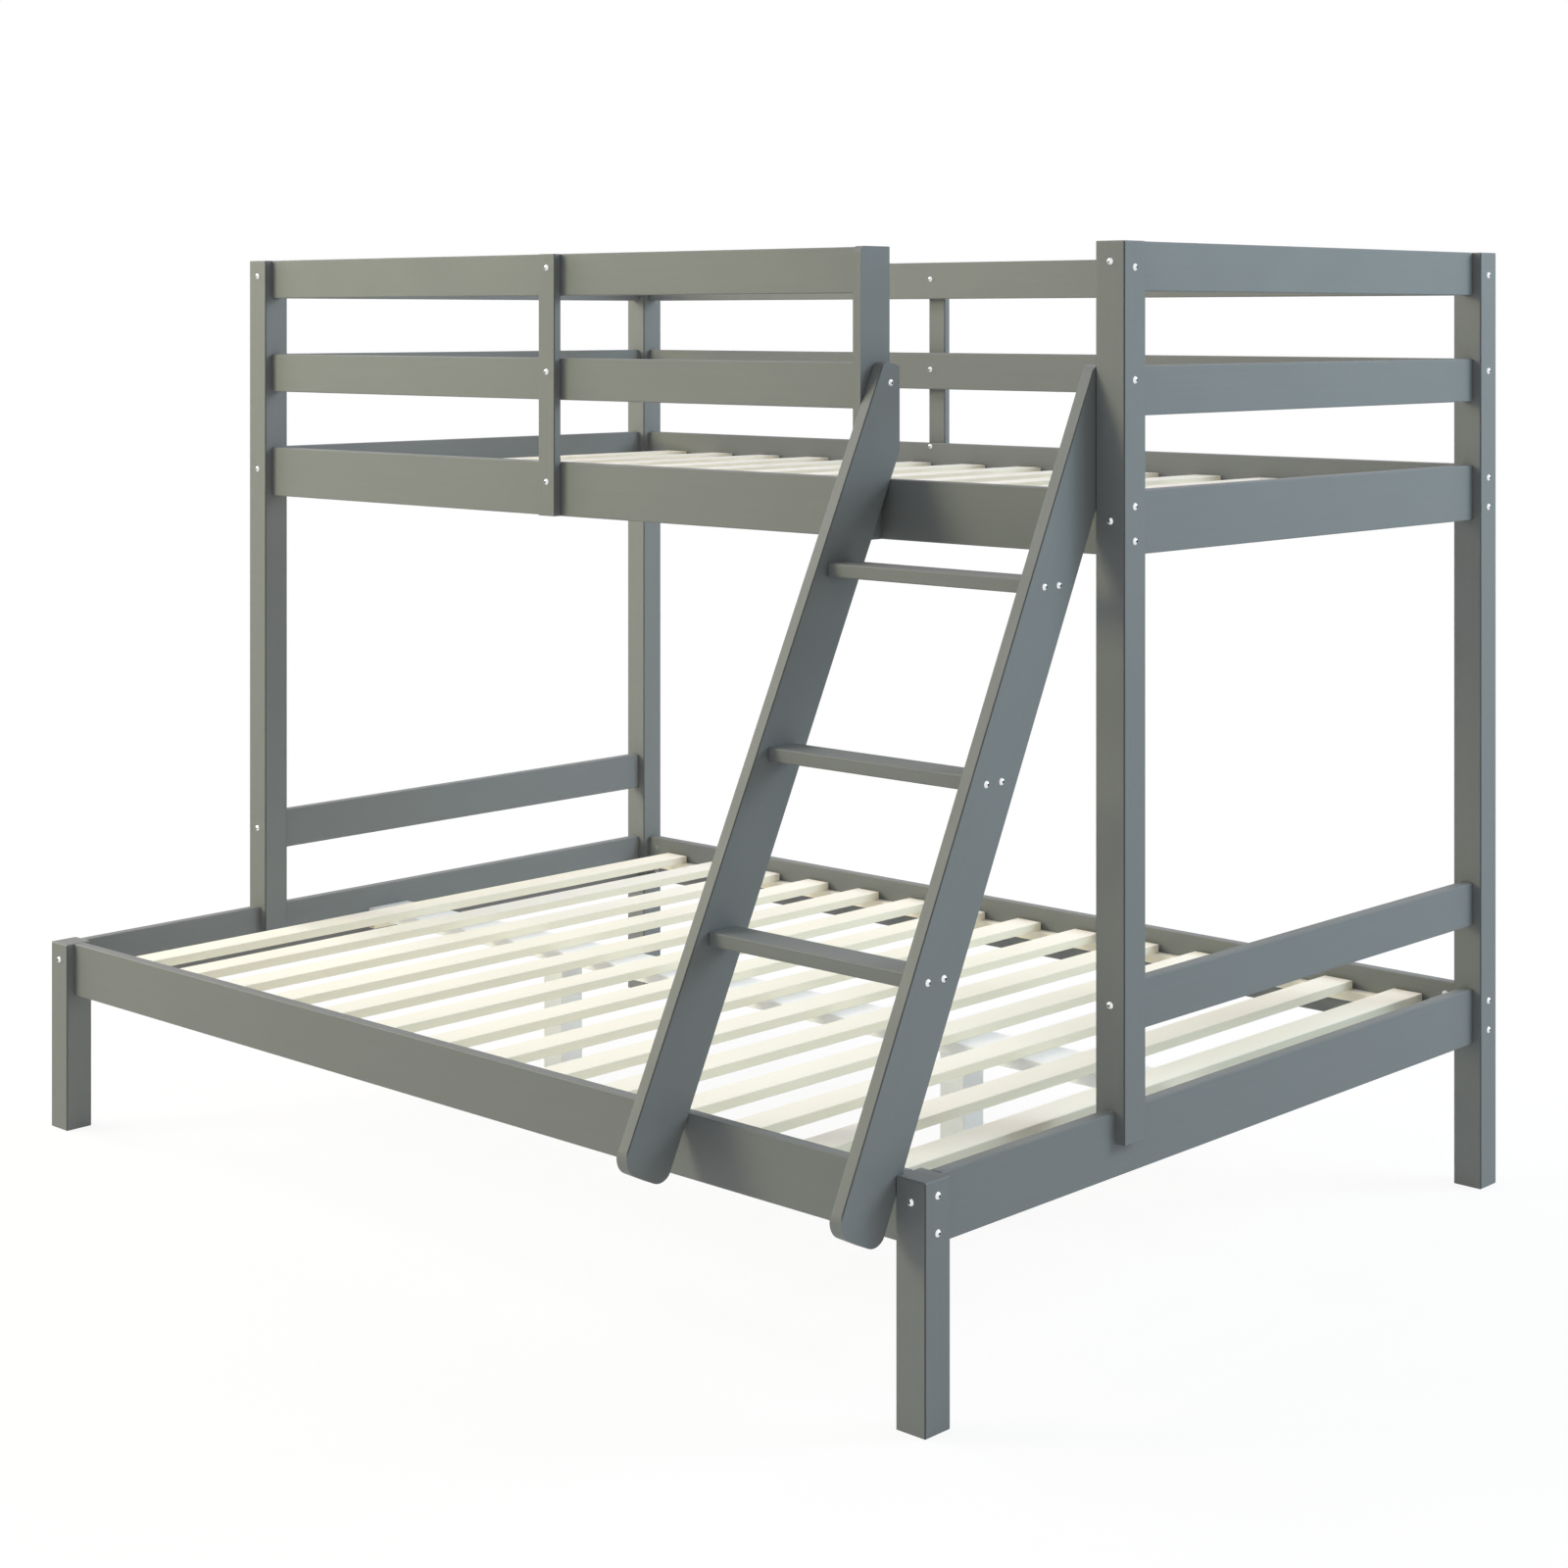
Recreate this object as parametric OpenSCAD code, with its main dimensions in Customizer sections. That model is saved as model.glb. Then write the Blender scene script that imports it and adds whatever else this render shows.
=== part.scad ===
// Bunk bed of painted timber: a wide lower bed, a narrower upper bunk set back over it,
// guard rails all round the upper bunk and a slanted ladder between the two front rails.
// Millimetres. +X runs along the bed, +Y towards the back, +Z up, the floor at Z = 0.

/* [Overall size] */
// Length of the bed over its posts
bed_length = 2020; // [1800:1:2300]
// Depth of the lower bed over its posts
lower_depth = 1451; // [1350:1:1600]
// Depth of the upper bunk over its posts
upper_depth = 1027; // [900:1:1120]
// Height of the tall posts
bed_height = 1532; // [1380:1:1700]

/* [Posts] */
// Width of each square post
post_size = 50; // [44:1:60]
// Rounding of the edges of a post
post_edge_r = 2.5; // [1:0.5:4]
// Depth of the forks that stand the middle posts over the lower end rails
fork_depth = 45; // [25:1:70]

/* [Rails] */
// Thickness of every rail
rail_t = 20; // [18:1:24]
// Height of the rails that carry the slats
side_rail_h = 90; // [80:1:110]
// Height of the guard rails
guard_rail_h = 70; // [60:1:80]
// Rounding of the edges of a rail
rail_edge_r = 2; // [1:0.5:4]
// Height of the top of the lower side rails
lower_rail_top = 326; // [280:1:380]
// Height of the guard's top over the upper side rails' top
guard_height = 348; // [320:1:380]
// Gap between a lower end rail and the guard rail above it
lower_guard_gap = 104; // [70:1:180]

/* [Guard posts] */
// Width of the uprights that join the long guard rails at mid length
guard_post_w = 40; // [30:1:60]
// Thickness of those uprights
guard_post_t = 15; // [12:1:15]
// Distance of their centre from the left end
guard_post_x = 830; // [600:1:1200]

/* [Slats] */
// Slats in each bunk
slat_count = 14; // [8:1:18]
// Width of a slat
slat_w = 55; // [40:1:70]
// Thickness of a slat
slat_t = 15; // [12:1:20]
// Rounding of the edges of a slat
slat_edge_r = 1.5; // [0.5:0.5:3]
// Gap between the end of a slat and the rail beside it
slat_end_gap = 5; // [4.5:0.5:12]
// Depth of the lower slats' top below the rail's top
lower_slat_drop = 25.5; // [20:0.5:35]
// Depth of the upper slats' top below the rail's top
upper_slat_drop = 37; // [30:0.5:50]
// Side of the square ledger strips under the slats' ends
ledger_size = 18; // [14:1:22]
// Distance of a ledger's end from the post
ledger_end_gap = 50; // [45:1:90]

/* [Centre support] */
// Width of the flat beam under the lower slats
beam_w = 95; // [70:1:120]
// Thickness of that beam
beam_t = 20; // [16:1:30]
// Width of each square centre leg
centre_leg_size = 50; // [40:1:60]
// Distance of a centre leg's middle from the end of the bed
centre_leg_inset = 540; // [350:1:750]

/* [Ladder] */
// Clear width between the stiles
ladder_w = 370; // [300:1:450]
// Width of a stile
stile_w = 92; // [80:1:105]
// Thickness of a stile
stile_t = 20; // [18:1:28]
// Length of stile below the lower front rail's top edge
stile_foot = 103; // [60:1:140]
// Distance of the stiles' upper front corners behind the upper posts' front faces
stile_end_inset = 0.8; // [0:0.1:6]
// Rounding of the stile's foot
foot_r = 26; // [10:1:38]
// Rounding of the stile's upper front corner
head_r = 15; // [8:1:30]
// Slope of the stile's upper end from the level
stile_end_slope = 14; // [0:1:26]
// Number of rungs
rung_count = 3; // [2:1:4]
// Depth of a rung
rung_d = 55; // [48:1:64]
// Thickness of a rung
rung_t = 20; // [18:1:26]
// Distance of the lowest rung along the stile from the lower rail's edge
low_rung_rise = 240; // [180:1:300]
// Distance of the highest rung along the stile from the upper rail's edge
high_rung_drop = 163; // [120:1:220]
// How far the rungs between those two lie below even spacing
mid_rung_drop = 6; // [0:1:15]

/* [Guard board] */
// Width of the upright board beside the ladder
board_w = 66; // [60:1:90]
// Thickness of that board
board_t = 15; // [15:1:22]
// Rounding of the board's front corners
board_r = 9; // [4:1:20]

/* [Fasteners] */
// Diameter of the bolts
bolt_d = 6; // [5:0.5:7]
// Diameter of a bolt's head
head_d = 10.5; // [10:0.5:14]
// Height of a bolt's head
head_h = 3; // [2:0.5:4]
// Size of the hexagon socket across its flats
socket_af = 4; // [3:0.5:5]
// Depth of the hexagon socket
socket_depth = 1.6; // [1:0.2:1.8]
// Distance of the side rails' bolts from the rail's middle line
side_bolt_spread = 24; // [21:1:30]
// Distance of a guard rail's dowels from the rail's middle line
guard_dowel_spread = 18; // [14:1:22]
// Half the height between two bolts that cross in one post
bolt_stagger = 4; // [4:0.5:6]
// Height over the top guard rails' middle line of the place where their bolts pass each other
top_bolt_rise = 2; // [0:1:6]
// Height of the long middle guard rails' bolts over the rail's middle line
mid_bolt_rise = 15; // [0:1:20]
// Height of the lower end guard rails' bolts over the rail's middle line
low_guard_bolt_rise = 7; // [0:1:15]
// Height of the front guard post's bolts over each rail's middle line
front_post_bolt_rise = 12; // [10:1:18]
// Height of the back guard post's upper two bolts over each rail's middle line
back_post_bolt_rise = 3; // [0:1:18]
// Depth of the back guard post's lowest bolt below the rail's top
back_post_bolt_drop = 7; // [7:1:20]
// Diameter of the threaded inserts in the rails' ends
insert_d = 10; // [9:0.5:11]
// Length of those inserts
insert_len = 15; // [10:1:25]
// Diameter of the barrel nuts in the lower side rails
barrel_d = 12; // [10:1:14]
// Distance of a barrel nut from the rail's end
barrel_inset = 24; // [20:1:40]
// Size of the guard post nuts across their flats
nut_af = 10; // [9:0.5:12]
// Height of those nuts
nut_h = 4; // [3:0.5:4]
// Diameter of the wooden dowels
dowel_d = 8; // [6:1:8]
// Distance between the two bolts in a rung's end
rung_bolt_gap = 32; // [24:1:34]
// Depth of the ladder's bolt in the guard board below the stile's end
board_bolt_drop = 30; // [20:1:40]
// Depth of the ladder's bolt in the middle post below the stile's end
post_bolt_drop = 17; // [11:1:24]

/* [Clearances] */
// Play round a bolt in its hole
bolt_play = 0.2; // [0.1:0.05:0.4]
// Play round inserts, nuts and dowels in their holes
fit_play = 0.05; // [0.02:0.01:0.1]
// Gap between the stile's back edge and the rails it leans on
lean_gap = 0.1; // [0:0.05:0.25]

/* [Hidden] */
$fn = 48;
// Overshoot of a cutter past the face it opens
over = 1;
// Thinnest wood left between a dowel and a hole that crosses in front of it
dowel_wall = 1;
// Wood left behind a blind hole
blind_wall = 3;
// Slack at the bottom of a dowel's or bolt's blind hole
end_slack = 1;

paint = [0.52, 0.53, 0.50];
paint_end = [0.46, 0.50, 0.53];
slat_wood = [0.95, 0.93, 0.85];
support_paint = [0.86, 0.87, 0.87];
zinc = [0.88, 0.88, 0.90];
dowel_wood = [0.80, 0.66, 0.45];

post_mid = post_size / 2;
rail_setback = (post_size - rail_t) / 2;
upper_front = lower_depth - upper_depth;
back_face = lower_depth - post_size;

// Heights of the rails' edges
upper_rail_top = bed_height - guard_height;
lower_rail_z = lower_rail_top - side_rail_h;
low_guard_z = lower_rail_top + lower_guard_gap;
upper_rail_z = upper_rail_top - side_rail_h;
top_guard_z = bed_height - guard_rail_h;
mid_guard_z = (upper_rail_top + top_guard_z - guard_rail_h) / 2;

// Heights of their middle lines
lower_mid = lower_rail_z + side_rail_h / 2;
low_guard_mid = low_guard_z + guard_rail_h / 2;
upper_mid = upper_rail_z + side_rail_h / 2;
mid_guard_mid = mid_guard_z + guard_rail_h / 2;
top_guard_mid = top_guard_z + guard_rail_h / 2;

// Each kind of rail: lower edge, height, heights of its bolts, heights of its dowels
LOWER_SIDE = [lower_rail_z, side_rail_h,
    [lower_mid - side_bolt_spread, lower_mid + side_bolt_spread], [lower_mid]];
UPPER_SIDE = [upper_rail_z, side_rail_h,
    [upper_mid - side_bolt_spread, upper_mid + side_bolt_spread], [upper_mid]];
MID_SIDE = [mid_guard_z, guard_rail_h,
    [mid_guard_mid + mid_bolt_rise], [mid_guard_mid - guard_dowel_spread]];
TOP_SIDE = [top_guard_z, guard_rail_h,
    [top_guard_mid + top_bolt_rise - bolt_stagger], [top_guard_mid - guard_dowel_spread]];
LOWER_END = [lower_rail_z, side_rail_h,
    [lower_mid + side_bolt_spread - 2 * bolt_stagger], [lower_mid - side_bolt_spread]];
LOW_GUARD = [low_guard_z, guard_rail_h,
    [low_guard_mid + low_guard_bolt_rise], [low_guard_mid - guard_dowel_spread]];
UPPER_END = [upper_rail_z, side_rail_h,
    [upper_mid + bolt_stagger], [upper_mid - side_bolt_spread, upper_mid + side_bolt_spread]];
MID_END = [mid_guard_z, guard_rail_h,
    [], [mid_guard_mid - guard_dowel_spread, mid_guard_mid + guard_dowel_spread]];
TOP_END = [top_guard_z, guard_rail_h,
    [top_guard_mid + top_bolt_rise + bolt_stagger], [top_guard_mid + guard_dowel_spread]];
function rail_z(rail) = rail[0];
function rail_h(rail) = rail[1];
function bolt_heights(rail) = rail[2];
function dowel_heights(rail) = rail[3];
function board_dowel_heights(rail) =
    [for (side = [-1, 1]) rail_z(rail) + rail_h(rail) / 2 + side * guard_dowel_spread];

// Fasteners
dowel_depth = post_mid - dowel_d / 2 - dowel_wall;
dowel_len = 2 * dowel_depth - end_slack;
insert_bolt_len = post_size + insert_len;
barrel_bolt_len = post_size + barrel_inset + barrel_d / 2;
barrel_len = rail_t - blind_wall;
guard_bolt_len = guard_post_t + rail_t + nut_h;

// Ladder: the stiles lean on the top front edges of the lower and the upper front rail
lower_edge_y = rail_setback;
upper_edge_y = upper_front + rail_setback;
upper_inner_y = upper_edge_y + rail_t;
lean = atan((upper_edge_y - lower_edge_y) / (upper_rail_top - lower_rail_top));
lean_run = norm([upper_edge_y - lower_edge_y, upper_rail_top - lower_rail_top]);
// How far a rounded rail edge lies behind a sharp one, square to the stile
edge_ease = rail_edge_r * (cos(lean) + sin(lean) - 1);
stile_back = edge_ease - lean_gap;
stile_front = stile_back - stile_w;
stile_top = (upper_front + stile_end_inset - lower_edge_y - stile_front * cos(lean)) / sin(lean);
stile_len = stile_foot + stile_top;
ladder_right = bed_length - post_size;
ladder_left = ladder_right - 2 * stile_t - ladder_w;
board_x = ladder_left - board_t;
rung_x = ladder_left + stile_t;
rung_line = (stile_front + stile_back) / 2;
rung_step = (lean_run - high_rung_drop - low_rung_rise) / (rung_count - 1);
// Place of a point of the stile in the upright plane: across it, and up along it
function stile_y(across, along) = lower_edge_y + along * sin(lean) + across * cos(lean);
function stile_z(across, along) = lower_rail_top + along * cos(lean) - across * sin(lean);
function rung_along(index) = low_rung_rise + index * rung_step
    - (index > 0 && index < rung_count - 1 ? mid_rung_drop : 0);
// Height of the stile's upper end over a place in depth
function stile_end_z(y) = stile_z(stile_front, stile_top)
    - (y - stile_y(stile_front, stile_top)) * tan(stile_end_slope);
board_bolt_y = upper_edge_y;
board_bolt_z = stile_end_z(board_bolt_y) - board_bolt_drop;
post_bolt_y = upper_front + post_mid;
post_bolt_z = stile_end_z(post_bolt_y) - post_bolt_drop;
board_insert_len = board_t - blind_wall - end_slack;
stile_insert_len = stile_t - blind_wall - end_slack;

// Slats and what carries them
slat_room = bed_length - 2 * (rail_setback + rail_t);
slat_gap = (slat_room - slat_count * slat_w) / (slat_count + 1);
slat_pitch = slat_w + slat_gap;
first_slat_x = rail_setback + rail_t + slat_gap;
lower_slat_z = lower_rail_top - lower_slat_drop - slat_t;
upper_slat_z = upper_rail_top - upper_slat_drop - slat_t;
inner_back_y = lower_depth - rail_setback - rail_t;
beam_z = lower_slat_z - beam_t;
beam_y = (lower_depth - beam_w) / 2;
centre_leg_y = (lower_depth - centre_leg_size) / 2;

// The origin lies on the floor, under the middle of the whole bed with its ladder
foot_front = stile_y(stile_front + foot_r, foot_r - stile_foot) - foot_r;
back_reach = lower_depth + max(head_h, nut_h);
origin_y = (foot_front + back_reach) / 2;

// --- Shapes ---

// Rectangle with round corners
module rounded(w, h, r) {
    translate([r, 0]) square([w - 2 * r, h]);
    translate([0, r]) square([w, h - 2 * r]);
    for (x = [r, w - r], y = [r, h - r]) translate([x, y]) circle(r);
}

// Board or post with every edge rounded
module bar(size, r) {
    intersection() {
        linear_extrude(size.z) rounded(size.x, size.y, r);
        translate([0, size.y, 0]) rotate([90, 0, 0]) linear_extrude(size.y) rounded(size.x, size.z, r);
        rotate([90, 0, 90]) linear_extrude(size.x) rounded(size.y, size.z, r);
    }
}

// Round rod along +X
module rod(length, d) {
    rotate([0, 90, 0]) cylinder(h = length, d = d);
}

// Bolt along +X with its head's seat at X = 0: a domed head with a hexagon socket
module bolt(length) {
    dome_r = (head_d * head_d / 4 + head_h * head_h) / (2 * head_h);
    difference() {
        union() {
            rod(length, bolt_d);
            intersection() {
                translate([-head_h, 0, 0]) rod(head_h, head_d);
                translate([dome_r - head_h, 0, 0]) rotate([0, 90, 0]) sphere(dome_r);
            }
        }
        translate([-head_h - over, 0, 0]) rotate([0, 90, 0])
            cylinder(h = socket_depth + over, d = socket_af / cos(30), $fn = 6);
    }
}

// Threaded insert along +X from its mouth
module insert(length) {
    difference() {
        rod(length, insert_d);
        translate([-over, 0, 0]) rod(length + 2 * over, bolt_d + 2 * fit_play);
    }
}

// --- Places ---

// The bed's own corner is moved so that the origin lies under its middle
module placed() translate([-bed_length / 2, -origin_y, 0]) children();

// The same piece at the other end of the bed
module other_end() translate([bed_length, 0, 0]) mirror([1, 0, 0]) children();

// Joints between a post and a rail: X = 0 is the post's face, +X runs into the rail
module from_left(y) translate([post_size, y + post_mid, 0]) children();
module from_right(y)
    translate([bed_length - post_size, y + post_mid, 0]) rotate([0, 0, 180]) children();
module from_front(x, y) translate([x + post_mid, y + post_size, 0]) rotate([0, 0, 90]) children();
module from_back(x) translate([x + post_mid, back_face, 0]) rotate([0, 0, -90]) children();

// --- Drilling ---

module post_drilling(rail) {
    for (z = bolt_heights(rail)) translate([-post_size - over, 0, z])
        rod(post_size + 2 * over, bolt_d + 2 * bolt_play);
    for (z = dowel_heights(rail)) translate([-dowel_depth, 0, z])
        rod(dowel_depth + over, dowel_d + 2 * fit_play);
}

module dowel_drilling(heights, depth) {
    for (z = heights) translate([-over, 0, z]) rod(depth + over, dowel_d + 2 * fit_play);
}

module insert_drilling(length) {
    translate([-over, 0, 0]) rod(length + over, insert_d + 2 * fit_play);
    translate([-over, 0, 0]) rod(length + end_slack + over, bolt_d + 2 * bolt_play);
}

module rail_end_drilling(rail) {
    for (z = bolt_heights(rail)) translate([0, 0, z]) insert_drilling(insert_len);
    dowel_drilling(dowel_heights(rail), dowel_depth);
}

// A barrel nut lies across the bolt, let in from the rail's inner face, on the side `inward`
module barrel_place(z, inward) {
    translate([barrel_inset, inward * rail_t / 2, z]) rotate([inward * 90, 0, 0]) children();
}

module barrel_end_drilling(rail, inward) {
    for (z = bolt_heights(rail)) {
        translate([-over, 0, z])
            rod(barrel_inset + barrel_d / 2 + end_slack + over, bolt_d + 2 * bolt_play);
        barrel_place(z, inward) translate([0, 0, -over])
            cylinder(h = barrel_len + over, d = barrel_d + 2 * fit_play);
    }
    dowel_drilling(dowel_heights(rail), dowel_depth);
}

// --- Posts ---

// Low leg at a front corner, as high as the lower rails
module low_leg() {
    color(paint) difference() {
        bar([post_size, post_size, lower_rail_top], post_edge_r);
        from_left(0) post_drilling(LOWER_SIDE);
        from_front(0, 0) post_drilling(LOWER_END);
    }
}

// Rear corner post
module rear_post() {
    color(paint) difference() {
        translate([0, back_face, 0]) bar([post_size, post_size, bed_height], post_edge_r);
        for (rail = [LOWER_SIDE, UPPER_SIDE, MID_SIDE, TOP_SIDE])
            from_left(back_face) post_drilling(rail);
        for (rail = [LOWER_END, LOW_GUARD, UPPER_END, MID_END, TOP_END])
            from_back(0) post_drilling(rail);
    }
}

// Middle post: its foot is forked and sits astride the lower end rail
module middle_post_blank() {
    fork_z = lower_rail_top - fork_depth;
    difference() {
        translate([0, upper_front, fork_z]) bar([post_size, post_size, bed_height - fork_z], post_edge_r);
        translate([rail_setback, upper_front - over, fork_z - over])
            cube([rail_t, post_size + 2 * over, fork_depth + over]);
        from_left(upper_front) post_drilling(UPPER_SIDE);
        for (rail = [LOW_GUARD, UPPER_END, MID_END, TOP_END])
            from_front(0, upper_front) post_drilling(rail);
    }
}

module front_left_leg() placed() low_leg();
module front_right_leg() placed() other_end() low_leg();
module rear_left_post() placed() rear_post();
module rear_right_post() placed() other_end() rear_post();

module middle_left_post() {
    placed() color(paint) difference() {
        middle_post_blank();
        for (rail = [MID_SIDE, TOP_SIDE]) from_left(upper_front) post_drilling(rail);
    }
}

// Beside the ladder the post holds the stile, and its top bolt only closes the spare hole
module middle_right_post() {
    placed() color(paint) difference() {
        other_end() middle_post_blank();
        translate([ladder_right - over, post_bolt_y, post_bolt_z])
            rod(post_size + 2 * over, bolt_d + 2 * bolt_play);
        translate([ladder_right + blind_wall, post_bolt_y, bolt_heights(TOP_SIDE)[0]])
            rod(post_size, bolt_d + 2 * bolt_play);
    }
}

// --- Rails ---

// Long rail with its front face at y, from x0 to x1
module long_rail(rail, y, x0, x1) {
    translate([x0, y, rail_z(rail)]) bar([x1 - x0, rail_t, rail_h(rail)], rail_edge_r);
}

// End rail between the posts at y0 and y1, at the left end
module end_rail(rail, y0) {
    color(paint_end) difference() {
        translate([rail_setback, y0, rail_z(rail)])
            bar([rail_t, back_face - y0, rail_h(rail)], rail_edge_r);
        from_front(0, y0 - post_size) rail_end_drilling(rail);
        from_back(0) rail_end_drilling(rail);
    }
}

// Lower long rail: `inward` is +1 where the bed lies behind it and -1 where it lies in front
module lower_long_rail(y, inward) {
    placed() color(paint) difference() {
        long_rail(LOWER_SIDE, y + rail_setback, post_size, bed_length - post_size);
        from_left(y) barrel_end_drilling(LOWER_SIDE, inward);
        from_right(y) barrel_end_drilling(LOWER_SIDE, -inward);
    }
}

// Long rail of the upper bunk from post to post, drilled for a guard post's bolt
module upper_long_rail(rail, y, bolt_z) {
    placed() color(paint) difference() {
        long_rail(rail, y + rail_setback, post_size, bed_length - post_size);
        from_left(y) rail_end_drilling(rail);
        from_right(y) rail_end_drilling(rail);
        guard_bolt_hole(bolt_z);
    }
}

// Front guard rail: it stops at the board beside the ladder
module short_front_rail(rail) {
    placed() color(paint) difference() {
        long_rail(rail, upper_edge_y, post_size, board_x);
        from_left(upper_front) rail_end_drilling(rail);
        translate([board_x, post_bolt_y, 0]) rotate([0, 0, 180])
            dowel_drilling(board_dowel_heights(rail), board_dowel_in_rail);
        guard_bolt_hole(front_post_bolt_z(rail));
    }
}

// Hole through the whole depth of the bed at mid length, for the guard posts' bolts
module guard_bolt_hole(z) {
    translate([guard_post_x, 0, z]) rotate([0, 0, 90]) rod(lower_depth, bolt_d + 2 * bolt_play);
}

function front_post_bolt_z(rail) = rail_z(rail) + rail_h(rail) / 2 + front_post_bolt_rise;
front_post_bolts = [for (rail = [UPPER_SIDE, MID_SIDE, TOP_SIDE]) front_post_bolt_z(rail)];
back_post_bolts = [
    upper_rail_top - back_post_bolt_drop,
    mid_guard_mid + back_post_bolt_rise,
    top_guard_mid + back_post_bolt_rise
];

module lower_front_rail() lower_long_rail(0, 1);
module lower_back_rail() lower_long_rail(back_face, -1);
module lower_left_end_rail() placed() end_rail(LOWER_END, post_size);
module lower_right_end_rail() placed() other_end() end_rail(LOWER_END, post_size);
module lower_left_guard_rail() placed() end_rail(LOW_GUARD, upper_front + post_size);
module lower_right_guard_rail() placed() other_end() end_rail(LOW_GUARD, upper_front + post_size);

module upper_front_rail() {
    difference() {
        upper_long_rail(UPPER_SIDE, upper_front, front_post_bolts[0]);
        placed() board_foot_drilling();
    }
}

module upper_back_rail() upper_long_rail(UPPER_SIDE, back_face, back_post_bolts[0]);
module back_middle_guard_rail() upper_long_rail(MID_SIDE, back_face, back_post_bolts[1]);
module back_top_guard_rail() upper_long_rail(TOP_SIDE, back_face, back_post_bolts[2]);
module front_middle_guard_rail() short_front_rail(MID_SIDE);
module front_top_guard_rail() short_front_rail(TOP_SIDE);
module upper_left_end_rail() placed() end_rail(UPPER_END, upper_front + post_size);
module upper_right_end_rail() placed() other_end() end_rail(UPPER_END, upper_front + post_size);
module left_middle_guard_rail() placed() end_rail(MID_END, upper_front + post_size);
module right_middle_guard_rail() placed() other_end() end_rail(MID_END, upper_front + post_size);
module left_top_guard_rail() placed() end_rail(TOP_END, upper_front + post_size);
module right_top_guard_rail() placed() other_end() end_rail(TOP_END, upper_front + post_size);

// --- Guard posts and the board beside the ladder ---

// Upright at mid length with its front face at y
module guard_post(y, heights) {
    placed() color(paint) difference() {
        translate([guard_post_x - guard_post_w / 2, y, upper_rail_z])
            bar([guard_post_w, guard_post_t, bed_height - upper_rail_z], rail_edge_r);
        for (z = heights) guard_bolt_hole(z);
    }
}

module front_guard_post() guard_post(upper_edge_y - guard_post_t, front_post_bolts);
module back_guard_post() guard_post(inner_back_y + rail_t, back_post_bolts);

board_dowel_in_board = board_t - blind_wall;
board_dowel_in_rail = dowel_len + end_slack - board_dowel_in_board;
board_foot_y = upper_inner_y - board_w;
board_foot_dowel_in_rail = rail_t - blind_wall;

// Dowel holes that join the board's lower edge to the front of the upper front rail
module board_foot_drilling() {
    translate([board_x + board_t / 2, upper_edge_y, 0]) rotate([0, 0, 90])
        dowel_drilling(bolt_heights(UPPER_SIDE), board_foot_dowel_in_rail);
    translate([board_x + board_t / 2, upper_edge_y, 0]) rotate([0, 0, -90])
        dowel_drilling(bolt_heights(UPPER_SIDE), dowel_len + end_slack - board_foot_dowel_in_rail);
}

// Outline of the board in depth and height: its back is flush with the rails' inner faces,
// and it steps forward round the upper front rail
module board_outline() {
    board_h = bed_height - upper_rail_z;
    difference() {
        translate([board_foot_y, upper_rail_z]) union() {
            translate([board_r, 0]) square([board_w - board_r, board_h]);
            translate([0, board_r]) square([board_w, board_h - 2 * board_r]);
            for (z = [board_r, board_h - board_r]) translate([board_r, z]) circle(board_r);
        }
        translate([upper_edge_y, upper_rail_z - over]) square([board_w, side_rail_h + over]);
    }
}

module ladder_guard_board() {
    placed() color(paint) difference() {
        translate([board_x, 0, 0]) rotate([90, 0, 90]) linear_extrude(board_t) board_outline();
        for (rail = [MID_SIDE, TOP_SIDE]) translate([board_x, post_bolt_y, 0])
            dowel_drilling(board_dowel_heights(rail), board_dowel_in_board);
        board_foot_drilling();
        translate([ladder_left, board_bolt_y, board_bolt_z]) rotate([0, 0, 180])
            insert_drilling(board_insert_len);
    }
}

// --- Ladder ---

// The stile's own frame: X across its thickness, Y across its width, Z up along it
module leaning() translate([0, lower_edge_y, lower_rail_top]) rotate([-lean, 0, 0]) children();

// Outline of a stile along its face: a round foot, and an upper end nearly level with one
// round corner at the front
module stile_outline() {
    end_turn = lean - stile_end_slope;
    round_top = stile_top + head_r * tan(end_turn) - head_r / cos(end_turn);
    difference() {
        translate([stile_front, -stile_foot]) union() {
            translate([foot_r, 0]) square([stile_w - 2 * foot_r, stile_len]);
            translate([0, foot_r]) square([stile_w, stile_len + stile_w]);
            for (across = [foot_r, stile_w - foot_r]) translate([across, foot_r]) circle(foot_r);
        }
        translate([stile_front, stile_top]) rotate(end_turn) translate([-stile_w, 0])
            square([3 * stile_w, 2 * stile_w]);
        translate([stile_front + head_r, round_top]) difference() {
            polygon([
                [0, 0],
                [-stile_w, 0],
                [-stile_w, stile_w],
                [-stile_w * sin(end_turn), stile_w * cos(end_turn)]
            ]);
            circle(head_r);
        }
    }
}

module stile(x) {
    difference() {
        translate([x, 0, 0]) leaning() intersection() {
            rotate([90, 0, 90]) linear_extrude(stile_t) stile_outline();
            translate([0, stile_front, -stile_foot]) linear_extrude(stile_len + stile_w)
                rounded(stile_t, stile_w, rail_edge_r);
        }
        translate([x - over, upper_inner_y, upper_rail_z])
            cube([stile_t + 2 * over, stile_w, bed_height]);
        for (index = [0 : rung_count - 1], side = [-1, 1])
            translate([x - over, rung_y(index) + side * rung_bolt_gap / 2, rung_z(index)])
                rod(stile_t + 2 * over, bolt_d + 2 * bolt_play);
    }
}

function rung_y(index) = stile_y(rung_line, rung_along(index));
function rung_z(index) = stile_z(rung_line, rung_along(index));

module ladder_left_stile() {
    placed() color(paint_end) difference() {
        stile(ladder_left);
        translate([ladder_left - over, board_bolt_y, board_bolt_z])
            rod(stile_t + 2 * over, bolt_d + 2 * bolt_play);
    }
}

module ladder_right_stile() {
    placed() color(paint_end) difference() {
        stile(ladder_right - stile_t);
        translate([ladder_right, post_bolt_y, post_bolt_z]) rotate([0, 0, 180])
            insert_drilling(stile_insert_len);
    }
}

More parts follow.
